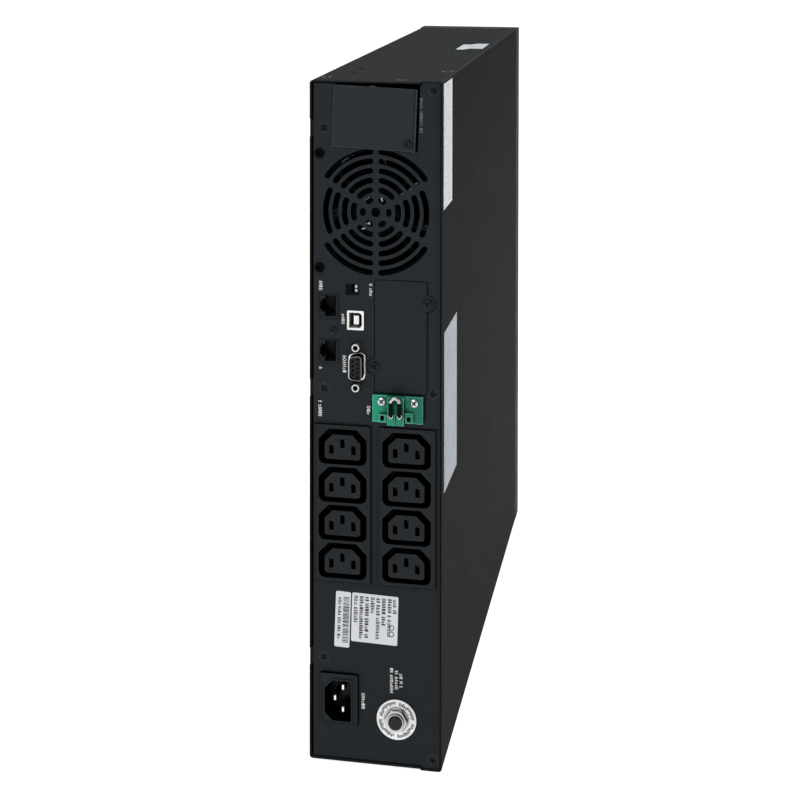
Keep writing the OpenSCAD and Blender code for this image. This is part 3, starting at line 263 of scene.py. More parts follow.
def painted_shade_on_wide_faces(s):
    """Painted light and shade: the upper and lower sides are painted bluer and lighter, as lit, and the
    wide faces darker, as in shade.
    """
    wide = s.mix(s.facing("Z", -1.0), rgb(SHADED_SIDE_BLACK), rgb(LIT_TOP_BLACK))
    return s.mix(s.facing("Z", 1.0), wide, rgb(LIT_TOP_BLACK))


def duller_cover_side(s):
    return s.range(s.facing("X", 1.0), 0.0, 1.0, 0.1, 0.01)


def duller_bezel_side(s):
    return s.range(s.facing("X", 1.0), 0.0, 1.0, 0.3, 0.01)


def painted_light_on_sheet(s, tone):
    """Painted glints on the rims of the dents, the notch and a screw near the rear of the upper side, a
    painted highlight on the cover's upper bend, over the painted light and shade of the faces."""
    tone = painted_shade_on_wide_faces(s)
    bend = s.math("MULTIPLY", s.facing("X", 1.0, 0.2, 0.4), s.facing("Z", 1.0, 0.2, 0.4))
    tone = s.mix(s.math("MULTIPLY", bend, 0.6), tone, rgb((0.05, 0.055, 0.06)))
    high = s.range(s.coord("Z"), TOP_MM - 2, TOP_MM - 1.5, 0.0, 1.0)
    for a, d, r in GLINT_RIMS:
        away = s.off_line((1, 1, 0), (LEFT_MM + a, REAR_MM + d, 0))
        rim = s.range(s.math("ABSOLUTE", s.math("SUBTRACT", away, r)), 0.2, 0.55, 1.0, 0.0)
        patchy = s.range(s.noise(0.5, 3), 0.4, 0.6, 0.0, 0.9)
        glint = s.math("MULTIPLY", s.math("MULTIPLY", rim, high), patchy)
        tone = s.mix(glint, tone, rgb((0.5, 0.5, 0.5)))
    return tone


def span(s, axis, lo, hi, soft):
    """1 between two places along an axis, fading out past them."""
    return s.math("MULTIPLY", s.range(s.coord(axis), lo - soft, lo, 0.0, 1.0),
                  s.range(s.coord(axis), hi, hi + soft, 1.0, 0.0))


def shadow_of(s, lo, hi, right, up):
    """The painted shadow of a raised box on the panel, to its right and above it. Places in metres."""
    across = span(s, "X", lo.x / MM + right, hi.x / MM + right * 0.5, right)
    return s.math("MULTIPLY", across, span(s, "Z", lo.z / MM + up, hi.z / MM + up * 0.5, up))


def painted_shade_at_side_and_bottom(s, tone):
    """Painted shade: the rear panel is painted darker beside the cover and towards the bottom."""
    downwards = s.range(s.coord("Z"), LOW_MM + 110, LOW_MM + 230, 0.34, 0.0)
    sideways = s.range(s.coord("X"), RIGHT_MM - 8, RIGHT_MM - 3, 0.0, 0.3)
    tone = s.mix(downwards, tone, rgb((0.002, 0.0025, 0.003)))
    return s.mix(sideways, tone, rgb((0.003, 0.004, 0.005)))


# The rear panel's painted shade, with the painted shadows of the raised pieces.
def panel_with_shadows(s, tone):
    tone = painted_shade_at_side_and_bottom(s, tone)
    for lo, hi, right, up in SHADOWS:
        dark = s.math("MULTIPLY", shadow_of(s, lo, hi, right, up), 0.95)
        tone = s.mix(dark, tone, rgb((0.0004, 0.0005, 0.0006)))
    return tone


# Painted shade: the green connector is painted darker towards its right.
def painted_shade_on_green(s, tone):
    return s.mix(s.range(s.coord("X"), 2, 27, 0.0, 0.62), tone, rgb((0.004, 0.03, 0.022)))


# The masks from here on are passed to the materials as lit: where a mask gives 0, the colour is painted dark
# as shade.
def rear_faces(s):
    """Painted shade: the mouldings' rear faces keep their colour, and their sides and recesses are
    painted dark.
    """
    return s.math("MULTIPLY", s.facing("Y", -1.0), s.open_sky(6, 0.3, 0.75))


def screw_faces(s):
    return s.open_sky(1.2, 0.45, 0.85)


def cross_recesses(s):
    return s.open_sky(1.6, 0.68, 0.98)


def panel_screw_faces(s):
    """The two fan screws, the ones closest to the base side, are dull black all over."""
    return s.math("MULTIPLY", s.range(s.coord("X"), FAN_SCREW_X, FAN_SCREW_X + 0.2, 0.1, 1.0), screw_faces(s))


def port_faces(s):
    return s.open_sky(4, 0.45, 0.8)


def post_rims(s):
    """Each post's end is bright metal round a threaded hole that is painted dark as shade."""
    holes = [s.off_line((1, 0, 1), (SERIAL.x, 0, SERIAL.z + side * JACKSCREW_REACH)) for side in (-1, 1)]
    rim = s.range(s.math("MINIMUM", *holes), 1.5, 1.9, 0.08, 1.0)
    return s.math("MULTIPLY", rim, port_faces(s))


def shell_mouth(s):
    """Painted light and shade: the shell's rim is painted bright at its left and dull at its right,
    and its sides are painted in shade.
    """
    rim = s.range(s.coord("X"), SERIAL.x - 4.0, SERIAL.x - 2.0, 1.0, 0.25)
    return s.math("MULTIPLY", rim, s.facing("Y", -1.0, 0.3, 0.8))


def shaded_right(s):
    return s.range(s.facing("X", 1.0, 0.15, 0.6), 0.0, 1.0, 1.0, 0.04)


# Painted shade in the nut's seams and on its faces that look to the right.
def nut_faces(s):
    return s.math("MULTIPLY", painted_seam_shade(s), shaded_right(s))


# Painted light and shade: only the pins' end faces keep their bright metal, and their sides are painted dark.
def pin_tips(s):
    return s.facing("Y", -1.0, 0.9, 0.99)


# A mask for painted shade in gaps and seams and beside raised parts.
def painted_seam_shade(s):
    return s.open_sky(2.2, 0.4, 0.88)


# Lighter edges stand for rubbed wear and for painted highlights: on the rear panel's edge, the cover plate,
# the screws and the green connector they are mostly painted highlights.
M = {
    "sheet": coated("black_powder_coat", LIT_TOP_BLACK, rough=0.62, grain=1.1, grain_depth=0.012,
                    spread=0.02, wear_and_highlight=0.2, wear_and_highlight_color=(0.05, 0.053, 0.056), specular=duller_cover_side,
                    uneven=0.02, edge_mm=0.5, shade=painted_light_on_sheet),
    "panel": panel_coat("panel_powder_coat", panel_with_shadows),
    "card": panel_coat("card_cover_powder_coat", painted_shade_at_side_and_bottom),
    "plate": coated("cover_plate_coat", (0.0111, 0.016, 0.0204), rough=0.48, grain=1.1, grain_depth=0.02,
                    spread=0.04, wear_and_highlight=1.0, wear_and_highlight_color=(0.15, 0.17, 0.19), specular=0.14, uneven=0.03,
                    edge_mm=0.7, lit=painted_seam_shade),
    "plastic": coated("black_moulded_plastic", (0.009, 0.009, 0.01), rough=0.42, grain=2.2,
                      grain_depth=0.02, spread=0.1, wear_and_highlight=0.2, wear_and_highlight_color=(0.06, 0.06, 0.062),
                      specular=duller_bezel_side),
    # The fan's black plastic is painted darker than black plastic, as painted shade behind the grille.
    "fan": coated("fan_plastic", (0.0006, 0.0007, 0.0009), rough=0.3, grain=2.2, grain_depth=0.02,
                  spread=0.1, wear_and_highlight=0.3, wear_and_highlight_color=(0.006, 0.007, 0.008), specular=0.012),
    "dark_plastic": coated("outlet_plastic", (0.0073, 0.01, 0.0121), rough=0.38, grain=2.6,
                           grain_depth=0.012, spread=0.1, wear_and_highlight=0.4, wear_and_highlight_color=(0.03, 0.036, 0.042),
                           specular=0.12, lit=rear_faces),
    "button": coated("breaker_button_plastic", (0.006, 0.0065, 0.007), rough=0.32, grain=2.6,
                     grain_depth=0.01, spread=0.1, wear_and_highlight=0.3, wear_and_highlight_color=(0.05, 0.05, 0.055), specular=0.2),
    "jack": coated("jack_plastic", (0.0062, 0.0088, 0.0108), rough=0.45, grain=2, grain_depth=0.01,
                   spread=0.1, wear_and_highlight=0.8, wear_and_highlight_color=(0.04, 0.046, 0.052), specular=0.12, edge_mm=0.5,
                   lit=port_faces),
    "cavity": coated("deep_black_plastic", (0.002, 0.0024, 0.0028), rough=0.5, grain=2, grain_depth=0.01,
                     spread=0.1, wear_and_highlight=0.4, wear_and_highlight_color=(0.025, 0.03, 0.034), specular=0.04, lit=port_faces),
    "insert": coated("serial_plastic", (0.009, 0.0095, 0.0105), rough=0.45, grain=2, grain_depth=0.01,
                     spread=0.1, wear_and_highlight=0.3, wear_and_highlight_color=(0.04, 0.042, 0.046), specular=0.12, lit=screw_faces),
    "screw": coated("blackened_screw", (0.0072, 0.0095, 0.0115), rough=0.32, grain=3, grain_depth=0.006,
                    spread=0.15, wear_and_highlight=0.8, wear_and_highlight_color=(0.14, 0.15, 0.16), specular=0.1, edge_mm=0.2,
                    lit=screw_faces),
    "panel_screw": coated("blackened_panel_screw", (0.0068, 0.0088, 0.0105), rough=0.3, grain=3,
                          grain_depth=0.006, spread=0.2, wear_and_highlight=1.2, wear_and_highlight_color=(0.26, 0.27, 0.28),
                          specular=0.08, edge_mm=0.2, lit=panel_screw_faces),
    "white": coated("white_plastic", (0.72, 0.72, 0.7), rough=0.4, grain=2.5, grain_depth=0.01,
                    spread=0.04, wear_and_highlight=0, lit=port_faces),
    "lever": coated("lever_plastic", (0.36, 0.36, 0.36), rough=0.4, grain=2.5, grain_depth=0.01,
                    spread=0.04, wear_and_highlight=0, lit=screw_faces),
    "film": coated("label_film", (0.52, 0.535, 0.56), rough=0.42, grain=1.2, grain_depth=0.006,
                   spread=0.03, wear_and_highlight=0, cloud=0.05),
    "side_film": coated("side_label_film", (0.62, 0.635, 0.65), rough=0.45, grain=1.2, grain_depth=0.006,
                        spread=0.03, wear_and_highlight=0, cloud=0.03, shade=label_looks),
    "green": coated("green_terminal", (0.012, 0.24, 0.142), rough=0.38, grain=2, grain_depth=0.015,
                    spread=0.12, wear_and_highlight=1.4, wear_and_highlight_color=(0.3, 0.78, 0.62), specular=0.16, edge_mm=0.6,
                    shade=painted_shade_on_green, lit=port_faces),
    "red": coated("red_connector", (0.42, 0.03, 0.025), rough=0.4, spread=0.1, wear_and_highlight=0.2,
                  wear_and_highlight_color=(0.6, 0.2, 0.15)),
    "zinc": metal("zinc_plated_steel", (0.5, 0.51, 0.52), rough=0.34),
    "screw_zinc": metal("bright_screw", (0.52, 0.53, 0.54), rough=0.25, streak=(6, 1, 6),
                        lit=cross_recesses),
    "post": metal("connector_post", (0.55, 0.55, 0.55), rough=0.25, streak=(6, 1, 6), lit=post_rims),
    "nut": metal("nickel_nut", (0.5, 0.5, 0.5), rough=0.2, streak=(2, 1, 2), scale=0.3, lit=nut_faces),
    "shell": metal("connector_shell", (0.6, 0.6, 0.59), rough=0.24, streak=(6, 1, 6), lit=shell_mouth),
    "tinned_wire": metal("tinned_wire", (0.42, 0.42, 0.42), rough=0.2, streak=(3, 3, 1), scale=0.6,
                         depth=0.06, spread=0.3),
    "tinned": metal("tinned_metal", (0.72, 0.72, 0.7), rough=0.24, streak=(6, 1, 6)),
    "pin": metal("nickel_pin", (0.75, 0.75, 0.75), rough=0.26, streak=(6, 1, 6), lit=pin_tips),
    "dial": metal("dial_plate", (0.6, 0.6, 0.6), rough=0.36, streak=(1, 1, 1), scale=0.2, lit=painted_seam_shade),
    "brass": metal("brass", (0.4, 0.3, 0.14), rough=0.35),
    "gold": metal("gold_contact", (0.3, 0.25, 0.16), rough=0.25),
    "aluminium": metal("extruded_aluminium", (0.62, 0.63, 0.64), rough=0.4, streak=(8, 0.4, 8)),
    "lead": metal("lead_plate", (0.3, 0.3, 0.31), rough=0.55),
    "ink": coated("dark_print", (0.02, 0.02, 0.022), rough=0.5, grain=3, grain_depth=0.003, spread=0.2,
                  wear_and_highlight=0),
    "legend": coated("white_print", (0.66, 0.66, 0.65), rough=0.55, grain=3, grain_depth=0.003,
                     spread=0.2, wear_and_highlight=0),
    "dull_legend": coated("shaded_print", (0.1, 0.105, 0.11), rough=0.55, grain=3, grain_depth=0.003,
                          spread=0.2, wear_and_highlight=0),
    "glow": coated("display_segments", (0.5, 0.72, 0.8), rough=0.4, grain=3, grain_depth=0.002,
                   spread=0.05, wear_and_highlight=0),
    "glass": coated("display_glass", (0.006, 0.016, 0.03), rough=0.12, grain=0.5, grain_depth=0.002,
                    spread=0.1, wear_and_highlight=0, coat=0.6),
    "led_green": coated("green_lens", (0.05, 0.5, 0.08), rough=0.2, grain=2, grain_depth=0.003, spread=0.1,
                        wear_and_highlight=0, coat=0.5),
    "led_amber": coated("amber_lens", (0.45, 0.18, 0.02), rough=0.2, grain=2, grain_depth=0.003,
                        spread=0.1, wear_and_highlight=0, coat=0.5),
    "foil": metal("worn_foil", (0.26, 0.27, 0.28), rough=0.3, streak=(1, 1, 1), scale=0.4),
    "fan_lead": coated("fan_lead_sleeve", (0.035, 0.037, 0.04), rough=0.25, grain=2, grain_depth=0.005,
                       spread=0.4, wear_and_highlight=0, specular=0.6),
    "lead_sleeve": coated("lead_sleeve", (0.3, 0.012, 0.01), rough=0.45, grain=2, spread=0.1, wear_and_highlight=0),
    "board": coated("solder_mask", (0.012, 0.09, 0.04), rough=0.3, grain=0.8, spread=0.2, wear_and_highlight=0),
}


def threaded_bushing():
    """The breaker's moulded body, with its nickel-plated threaded neck outside the panel. The neck is
    painted dark as shade in its recesses and on its right-hand faces.
    """
    s = Shader("breaker_body_and_neck")
    outside = s.range(s.coord("Y"), PANEL_Y / MM - 0.05, PANEL_Y / MM + 0.05, 1.0, 0.0)
    thread = s.math("SINE", s.math("MULTIPLY", s.coord("Y"), 2 * math.pi / 0.75))
    lit = s.math("MULTIPLY", s.open_sky(1.5), shaded_right(s))
    neck = s.mix(lit, rgb((0.008, 0.008, 0.008)), rgb((0.62, 0.62, 0.62)))
    body = s.mix(s.range(s.noise(0.3, 4), 0.3, 0.7, 0, 1), rgb((0.008, 0.008, 0.009)),
                 rgb((0.012, 0.012, 0.013)))
    return s.set(Base_Color=s.mix(outside, body, neck), Metallic=s.math("MULTIPLY", outside, lit),
                 Specular_IOR_Level=s.range(lit, 0.0, 1.0, 0.05, 0.5), Roughness=0.22,
                 Normal=s.bump(thread, 0.6, 0.08))


M["bushing"] = threaded_bushing()

LOOK = {
    "sheet": ["chassis_base", "top_cover", "front_plate", "card_cage"],
    "panel": ["rear_panel"],
    "card": ["card_slot_cover"],
    "plate": ["battery_port_cover"],
    "plastic": ["battery_port_socket", "fan_rotor",
                "drawer_front", "display_bezel", "display_pod", "power_button", "mute_button",
                "select_button", "power_transistors", "battery_cases", "epo_jumper_wire"],
    "fan": ["fan_frame"],
    "dark_plastic": ["outlet_block_left", "outlet_block_right", "inlet_housing"],
    "button": ["breaker_button"],
    "bushing": ["breaker_body"],
    "glass": ["display_screen"],
    "jack": ["surge_jacks"],
    "cavity": ["dip_switch_body"],
    "insert": ["serial_insert"],
    "screw": ["case_screws"],
    "panel_screw": ["panel_screws"],
    "lever": ["dip_slider_1", "dip_slider_2"],
    "white": ["usb_port", "drawer_guides"],
    "film": ["rear_labels"],
    "side_film": ["cover_labels"],
    "green": ["epo_header", "epo_plug"],
    "red": ["drawer_socket", "drawer_plug", "wiring", "relays"],
    "zinc": ["bay_divider", "board_standoffs", "battery_tray"],
    "screw_zinc": ["epo_header_screws"],
    "post": ["serial_jackscrews"],
    "nut": ["breaker_nut"],
    "shell": ["serial_shell"],
    "pin": ["inlet_pins"],
    "dial": ["breaker_dial"],
    "brass": ["outlet_contacts", "filter_chokes", "power_transformer"],
    "aluminium": ["heat_sinks", "bulk_capacitors"],
    "lead": ["battery_plates"],
    "board": ["comm_board", "power_board", "control_board"],
}


def paint(obj, mat):
    obj.data.materials.clear()
    obj.data.materials.append(mat)


for look, names in LOOK.items():
    for name in names:
        paint(nodes[name], M[look])

# ---------------------------------------------------------------- mesh building
REAR_FACE = (Vector((1, 0, 0)), Vector((0, 0, 1)))
FRONT_FACE = (Vector((-1, 0, 0)), Vector((0, 0, 1)))


class Piece:
    """Gathers solids, drawn in millimetres on a plane, into one object."""

    def __init__(self, name, origin=(0, 0, 0), plane=REAR_FACE, tilt=0.0):
        self.name, self.bm = name, bmesh.new()
        self.go(origin, plane, tilt)

    def go(self, origin, plane=REAR_FACE, tilt=0.0):
        """Moves the drawing plane: origin in metres, tilt in degrees anticlockwise."""
        x, y = plane
        c, sn = math.cos(math.radians(tilt)), math.sin(math.radians(tilt))
        self.o = Vector(origin)
        self.x, self.y = x * c + y * sn, y * c - x * sn
        self.n = x.cross(y)

    def spot(self, x, y, z=0.0):
        return self.o + (self.x * x + self.y * y + self.n * z) * MM

    def loop(self, points):
        return [self.bm.verts.new(p) for p in points]

    def skin(self, loops, closed=False):
        """Joins rings of vertices, all with the same count, into a tube or a ring."""
        pairs = list(zip(loops, loops[1:]))
        if closed:
            pairs.append((loops[-1], loops[0]))
        for a, b in pairs:
            for i in range(len(a)):
                j = (i + 1) % len(a)
                self.bm.faces.new((a[i], a[j], b[j], b[i]))
        if not closed:
            self.bm.faces.new(loops[0][::-1])
            self.bm.faces.new(loops[-1])

    def prism(self, outline, h0, h1):
        self.skin([self.loop([self.spot(x, y, h) for x, y in outline]) for h in (h0, h1)])

    def bar(self, x0, x1, y0, y1, h0, h1):
        self.prism([(x0, y0), (x1, y0), (x1, y1), (x0, y1)], h0, h1)

    def lathe(self, profile, steps=32, x=0.0, y=0.0):
        """profile: (radius, height) pairs, open at neither end."""
        rings = []
        for r, h in profile:
            rings.append(self.loop([self.spot(x + r * math.cos(t), y + r * math.sin(t), h)
                                    for t in (2 * math.pi * k / steps for k in range(steps))]))
        self.skin(rings)

    def ring(self, r0, r1, h0, h1, steps=32, x=0.0, y=0.0):
        """A round washer."""
        rings = [self.loop([self.spot(x + r * math.cos(t), y + r * math.sin(t), h)
                            for t in (2 * math.pi * k / steps for k in range(steps))])
                 for r, h in ((r0, h0), (r1, h0), (r1, h1), (r0, h1))]
        self.skin(rings, closed=True)

    def tube(self, path, r, steps=12):
        """A round bar through points in metres."""
        rings, side = [], None
        for i, p in enumerate(path):
            d = (path[min(i + 1, len(path) - 1)] - path[max(i - 1, 0)]).normalized()
            if side is None:
                side = d.orthogonal().normalized()
            side = (side - d * side.dot(d)).normalized()
            up = d.cross(side)
            rings.append(self.loop([p + (side * math.cos(t) + up * math.sin(t)) * r * MM
                                    for t in (2 * math.pi * k / steps for k in range(steps))]))
        self.skin(rings)

    def done(self, mat, body="case", smooth=True):
        bmesh.ops.recalc_face_normals(self.bm, faces=self.bm.faces)
        mesh = bpy.data.meshes.new(self.name)
        self.bm.to_mesh(mesh)
        self.bm.free()
        obj = bpy.data.objects.new(self.name, mesh)
        bpy.context.collection.objects.link(obj)
        mesh.materials.append(mat)
        if smooth:
            mesh.shade_smooth()
            mesh.set_sharp_from_angle(angle=math.radians(35))
        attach(obj, body)
        return obj


def round_edges(obj, width_mm):
    w = obj.modifiers.new("weld", "WELD")
    w.merge_threshold = 2e-6
    b = obj.modifiers.new("edges", "BEVEL")
    b.width, b.segments = width_mm * MM, 2
    b.limit_method, b.angle_limit = "ANGLE", math.radians(40)
    b.use_clamp_overlap = True
    b.harden_normals = False


def marks_row(piece, x0, x1, y0, y1, h0, h1, width=1.7, stroke=0.36):
    """A row of small plain marks in place of a word, drawn by chance, so that they spell nothing.

    The box and the gate have the shapes of a square O and an H. The other three are no letters."""
    top = y1
    while top - width > y0 - 0.3:
        w = width * random.choice((0.8, 1.0, 1.15))
        low = top - w + 0.45
        kind = random.choice("box fork bars gate step".split())
        stems = {"box": (0, 1), "fork": (0.5,), "bars": (0, 0.5, 1), "gate": (0, 1), "step": (0,)}[kind]
        for t in stems:
            y = low + (top - low - stroke) * t
            piece.bar(x0, x1 if kind != "step" else x0 + (x1 - x0) * 0.6, y, y + stroke, h0, h1)
        rungs = {"box": (0, 1), "fork": (0, 0.5), "bars": (), "gate": (0.5,), "step": (0, 0.6)}[kind]
        for t in rungs:
            x = x0 + (x1 - x0 - stroke) * t
            piece.bar(x, x + stroke, low, top, h0, h1)
        top -= w
        if random.random() < 0.12:
            top -= width * 0.6


INK = (-0.02, 0.04)
panel_face = at(0, 0, 0)
panel_face.y = PANEL_Y
serial_face = panel_face + Vector((SERIAL_A, 0, SERIAL_Z)) * MM

# Legends beside the ports: rows of plain marks where a real unit has words.
legends = Piece("port_legends", panel_face)
for a0, a1, z0, z1 in ((5.9, 8.2, 295.5, 301.7), (38.0, 39.8, 293, 301.2), (20.3, 22.3, 275.1, 281.6),
                       (5.9, 8.0, 244.9, 247.9), (21.1, 23.4, 243.8, 255.8), (5.5, 7.8, 214.4, 226.5),
                       (36.5, 38.6, 218.5, 224.9), (33.2, 35.3, 34.8, 44.4), (51.3, 53.2, 45.9, 61.8),
                       (54.4, 56.4, 47.8, 60.5), (57.3, 59.3, 49.6, 58.8)):
    marks_row(legends, a0, a1, z0, z1, *INK)
legends.done(M["legend"], smooth=False)
shaded = Piece("port_legend_in_shade", panel_face)
marks_row(shaded, 69.6, 71.4, 395.7, 417.3, *INK)
shaded.done(M["dull_legend"], smooth=False)

# Print on the two tilted rear labels.
PRINT = (0.13, 0.19)
print_rear = Piece("rear_label_print", panel_face + Vector((21.1, 0, 89.9)) * MM, tilt=-2)
y = -14.6
while y < 14.6:
    w = random.choice((0.3, 0.3, 0.6, 0.9))
    print_rear.bar(0.1, 4.0, y, y + w, *PRINT)
    y += w + random.choice((0.35, 0.35, 0.6))
marks_row(print_rear, -3.1, -1.2, -13.8, 13.6, *PRINT, 1.5, 0.42)
print_rear.go(panel_face + Vector((41.5, 0, 91.7)) * MM, tilt=-1.5)
for x, lo, hi in ((-13.2, -4, 13.5), (-9.7, -13.5, 13.5), (-6.2, -13.5, 13.5), (-2.7, 2.5, 13.5),
                  (0.9, -13.5, 13.5), (4.4, -5, 13.5), (8.2, -11, 13.5), (11.4, 3, 13.5)):
    marks_row(print_rear, x, x + 2.3, lo, hi, *PRINT, 1.75, 0.5)
print_rear.ring(1.3, 1.8, *PRINT, 24, 10.8, -8.4)
print_rear.ring(1.3, 1.8, *PRINT, 24, 10.8, -4.4)
print_rear.done(M["ink"], smooth=False)

# Breaker dial: short marks round the plate, with gaps between four groups.
dial_lo, dial_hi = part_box("breaker_dial")
dial_c = (dial_lo + dial_hi) / 2
dial_c.y = dial_lo.y
marks = Piece("breaker_dial_ticks", dial_c)
DIAL_MARKS, GROUP = 60, 15
for k in range(DIAL_MARKS):
    if k % GROUP in (0, GROUP - 1):
        continue
    angle = 2 * math.pi * k / DIAL_MARKS
    c, sn = math.cos(angle), math.sin(angle)
    r0, r1, half = random.choice(((9.0, 11.3, 0.36), (9.0, 10.6, 0.36), (9.7, 11.3, 0.36)))
    marks.prism([(r0 * c + half * sn, r0 * sn - half * c), (r1 * c + half * sn, r1 * sn - half * c),
                 (r1 * c - half * sn, r1 * sn + half * c), (r0 * c - half * sn, r0 * sn + half * c)], *INK)
marks.done(M["ink"], smooth=False)

# Sprung contacts in the network jacks.
CONTACT_PITCH = 1.02
wires = Piece("jack_contacts")
for z in (257.6, 285.7):
    for k in range(8):
        y = 0.75 + (k - 3.5) * CONTACT_PITCH
        wires.go(panel_face + Vector((12.1, 0, z)) * MM)
        wires.tube([wires.spot(4.4, y, -2.4), wires.spot(3.2, y, -4.2), wires.spot(1.4, y, -9.8)], 0.2, 6)
wires.done(M["gold"])

# Sockets in the serial insert.
SOCKET_PITCH = 2.77
sockets = Piece("serial_contacts", serial_face)
for x, rows in ((1.42, (-2, -1, 0, 1, 2)), (-1.42, (-1.5, -0.5, 0.5, 1.5))):
    for k in rows:
        sockets.ring(0.4, 0.7, -1.0, 1.6, 16, x, SOCKET_PITCH * k)
sockets.done(M["pin"])

# The serial shell's bright flange, seen round the shell through the panel's cut-out.
def d_outline(w, h, r, steps=6):
    """A D-shaped outline with rounded corners, narrower at its left."""
    slope = w * math.tan(math.radians(10))
    corners = [Vector((-w / 2, slope - h / 2)), Vector((w / 2, -h / 2)),
               Vector((w / 2, h / 2)), Vector((-w / 2, h / 2 - slope))]
    points = []
    for k, c in enumerate(corners):
        to_last = (corners[k - 1] - c).normalized()
        to_next = (corners[(k + 1) % 4] - c).normalized()
        half_angle = to_last.angle(to_next) / 2
        centre = c + (to_last + to_next).normalized() * (r / math.sin(half_angle))
        start = c + to_last * (r / math.tan(half_angle)) - centre
        sweep = math.pi - 2 * half_angle
        for j in range(steps + 1):
            t = sweep * j / steps
            points.append((centre.x + start.x * math.cos(t) - start.y * math.sin(t),
                           centre.y + start.x * math.sin(t) + start.y * math.cos(t)))
    return points


flange = Piece("serial_flange", serial_face)
OUTER, OUTER_TOP = (10.7, 18.4, 3.0), (10.3, 18.0, 2.8)
INNER, INNER_TOP = (8.6, 16.7, 2.3), (8.9, 17.0, 2.5)
flange.skin([flange.loop([flange.spot(x, y, h) for x, y in d_outline(*size)])
             for size, h in ((OUTER, -0.6), (OUTER, 0.0), (OUTER_TOP, 0.2),
                             (INNER_TOP, 0.2), (INNER, 0.0), (INNER, -0.6))], closed=True)
flange.done(M["tinned"])

# A black strip stands in for the shade at the end of the seam between the two sheets, on the upper
# and the lower side.
seam_shade = Piece("seam_shade_strip", at(0, 0, 0))
for z0, z1 in ((0.1, 1.7), (HEIGHT / MM - 1.7, HEIGHT / MM - 0.1)):
    seam_shade.bar(70.53, 70.97, z0, z1, -2.2, -0.2)
seam_shade.done(M["fan"], smooth=False)

# The jumper wire of the emergency-off plug: dark legs, a tinned arch, and white ferrules.
plug_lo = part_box("epo_plug")[0]
wire_lo, wire_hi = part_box("epo_jumper_wire")
WIRE_R = 1.25
leg_x = [wire_lo.x + WIRE_R * MM, wire_hi.x - WIRE_R * MM]
leg_y = wire_lo.y + WIRE_R * MM
half = (leg_x[1] - leg_x[0]) / 2
arch_z = wire_hi.z - WIRE_R * MM - half
entry_z = wire_lo.z + WIRE_R * MM
BEND = 1.8 * MM
legs = Piece("epo_wire_legs")
for x in leg_x:
    path = [Vector((x, plug_lo.y + 3 * MM, entry_z)), Vector((x, leg_y + BEND, entry_z))]
    path += [Vector((x, leg_y + BEND - BEND * math.sin(t), entry_z + BEND - BEND * math.cos(t)))
             for t in (math.pi / 2 * k / 6 for k in range(1, 7))]
    path.append(Vector((x, leg_y, arch_z)))
    legs.tube(path, WIRE_R * 0.94, 16)
legs.done(M["cavity"], "epo_link")
arch = Piece("epo_wire_arch")
arch.tube([Vector(((leg_x[0] + leg_x[1]) / 2 - half * math.cos(t), leg_y, arch_z + half * math.sin(t)))
           for t in (math.pi * k / 16 for k in range(17))], WIRE_R, 16)
arch_obj = arch.done(M["tinned_wire"], "epo_link")
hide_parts("epo_jumper_wire")
ferrules = Piece("epo_ferrules")
for x in leg_x:
    ferrules.go(Vector((x, plug_lo.y, entry_z)))
    ferrules.lathe([(1.1, -2.5), (1.5, -2.5), (1.5, 1.2), (1.35, 1.4), (1.1, 1.4)], 20)
ferrules.done(M["white"], "epo_link")

# Front: printed icons on the three keys, a display picture of plain gauges and three zeros, and
# status lenses.
ICON = 0.015
KEYS = ("power_button", "mute_button", "select_button")
KEY_BODY = ("power_key", "mute_key", "select_key")
key_c = []
for name in KEYS:
    lo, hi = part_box(name)
    key_c.append(Vector(((lo.x + hi.x) / 2, hi.y, (lo.z + hi.z) / 2)))
icon = Piece("power_icon", key_c[0], FRONT_FACE)
rings = []
for r, h in ((1.7, 0), (2.15, 0), (2.15, ICON), (1.7, ICON)):
    rings.append([icon.spot(r * math.sin(t), r * math.cos(t), h)
                  for t in (math.radians(35 + 290 * k / 24) for k in range(25))])
arcs = [icon.loop([rings[j][k] for j in range(4)]) for k in range(25)]
icon.skin(arcs)
icon.bar(-0.22, 0.22, 0.4, 2.6, 0, ICON)
icon.done(M["legend"], KEY_BODY[0], smooth=False)
icon = Piece("mute_icon", key_c[1], FRONT_FACE)
icon.prism([(-2.2, -0.7), (-1.2, -0.7), (0.2, -1.8), (0.2, 1.8), (-1.2, 0.7), (-2.2, 0.7)], 0, ICON)
for turn in (45, -45):
    icon.go(key_c[1] + Vector((-1.6, 0, 0)) * MM, FRONT_FACE, turn)
    icon.bar(-0.9, 0.9, -0.18, 0.18, 0, ICON)
icon.done(M["legend"], KEY_BODY[1], smooth=False)
icon = Piece("select_icon", key_c[2], FRONT_FACE)
icon.prism([(-1.6, 0.6), (0, -1.4), (1.6, 0.6), (0.9, 0.6), (0, -0.5), (-0.9, 0.6)], 0, ICON)
icon.bar(-1.6, 1.6, 1.2, 1.6, 0, ICON)
icon.done(M["legend"], KEY_BODY[2], smooth=False)

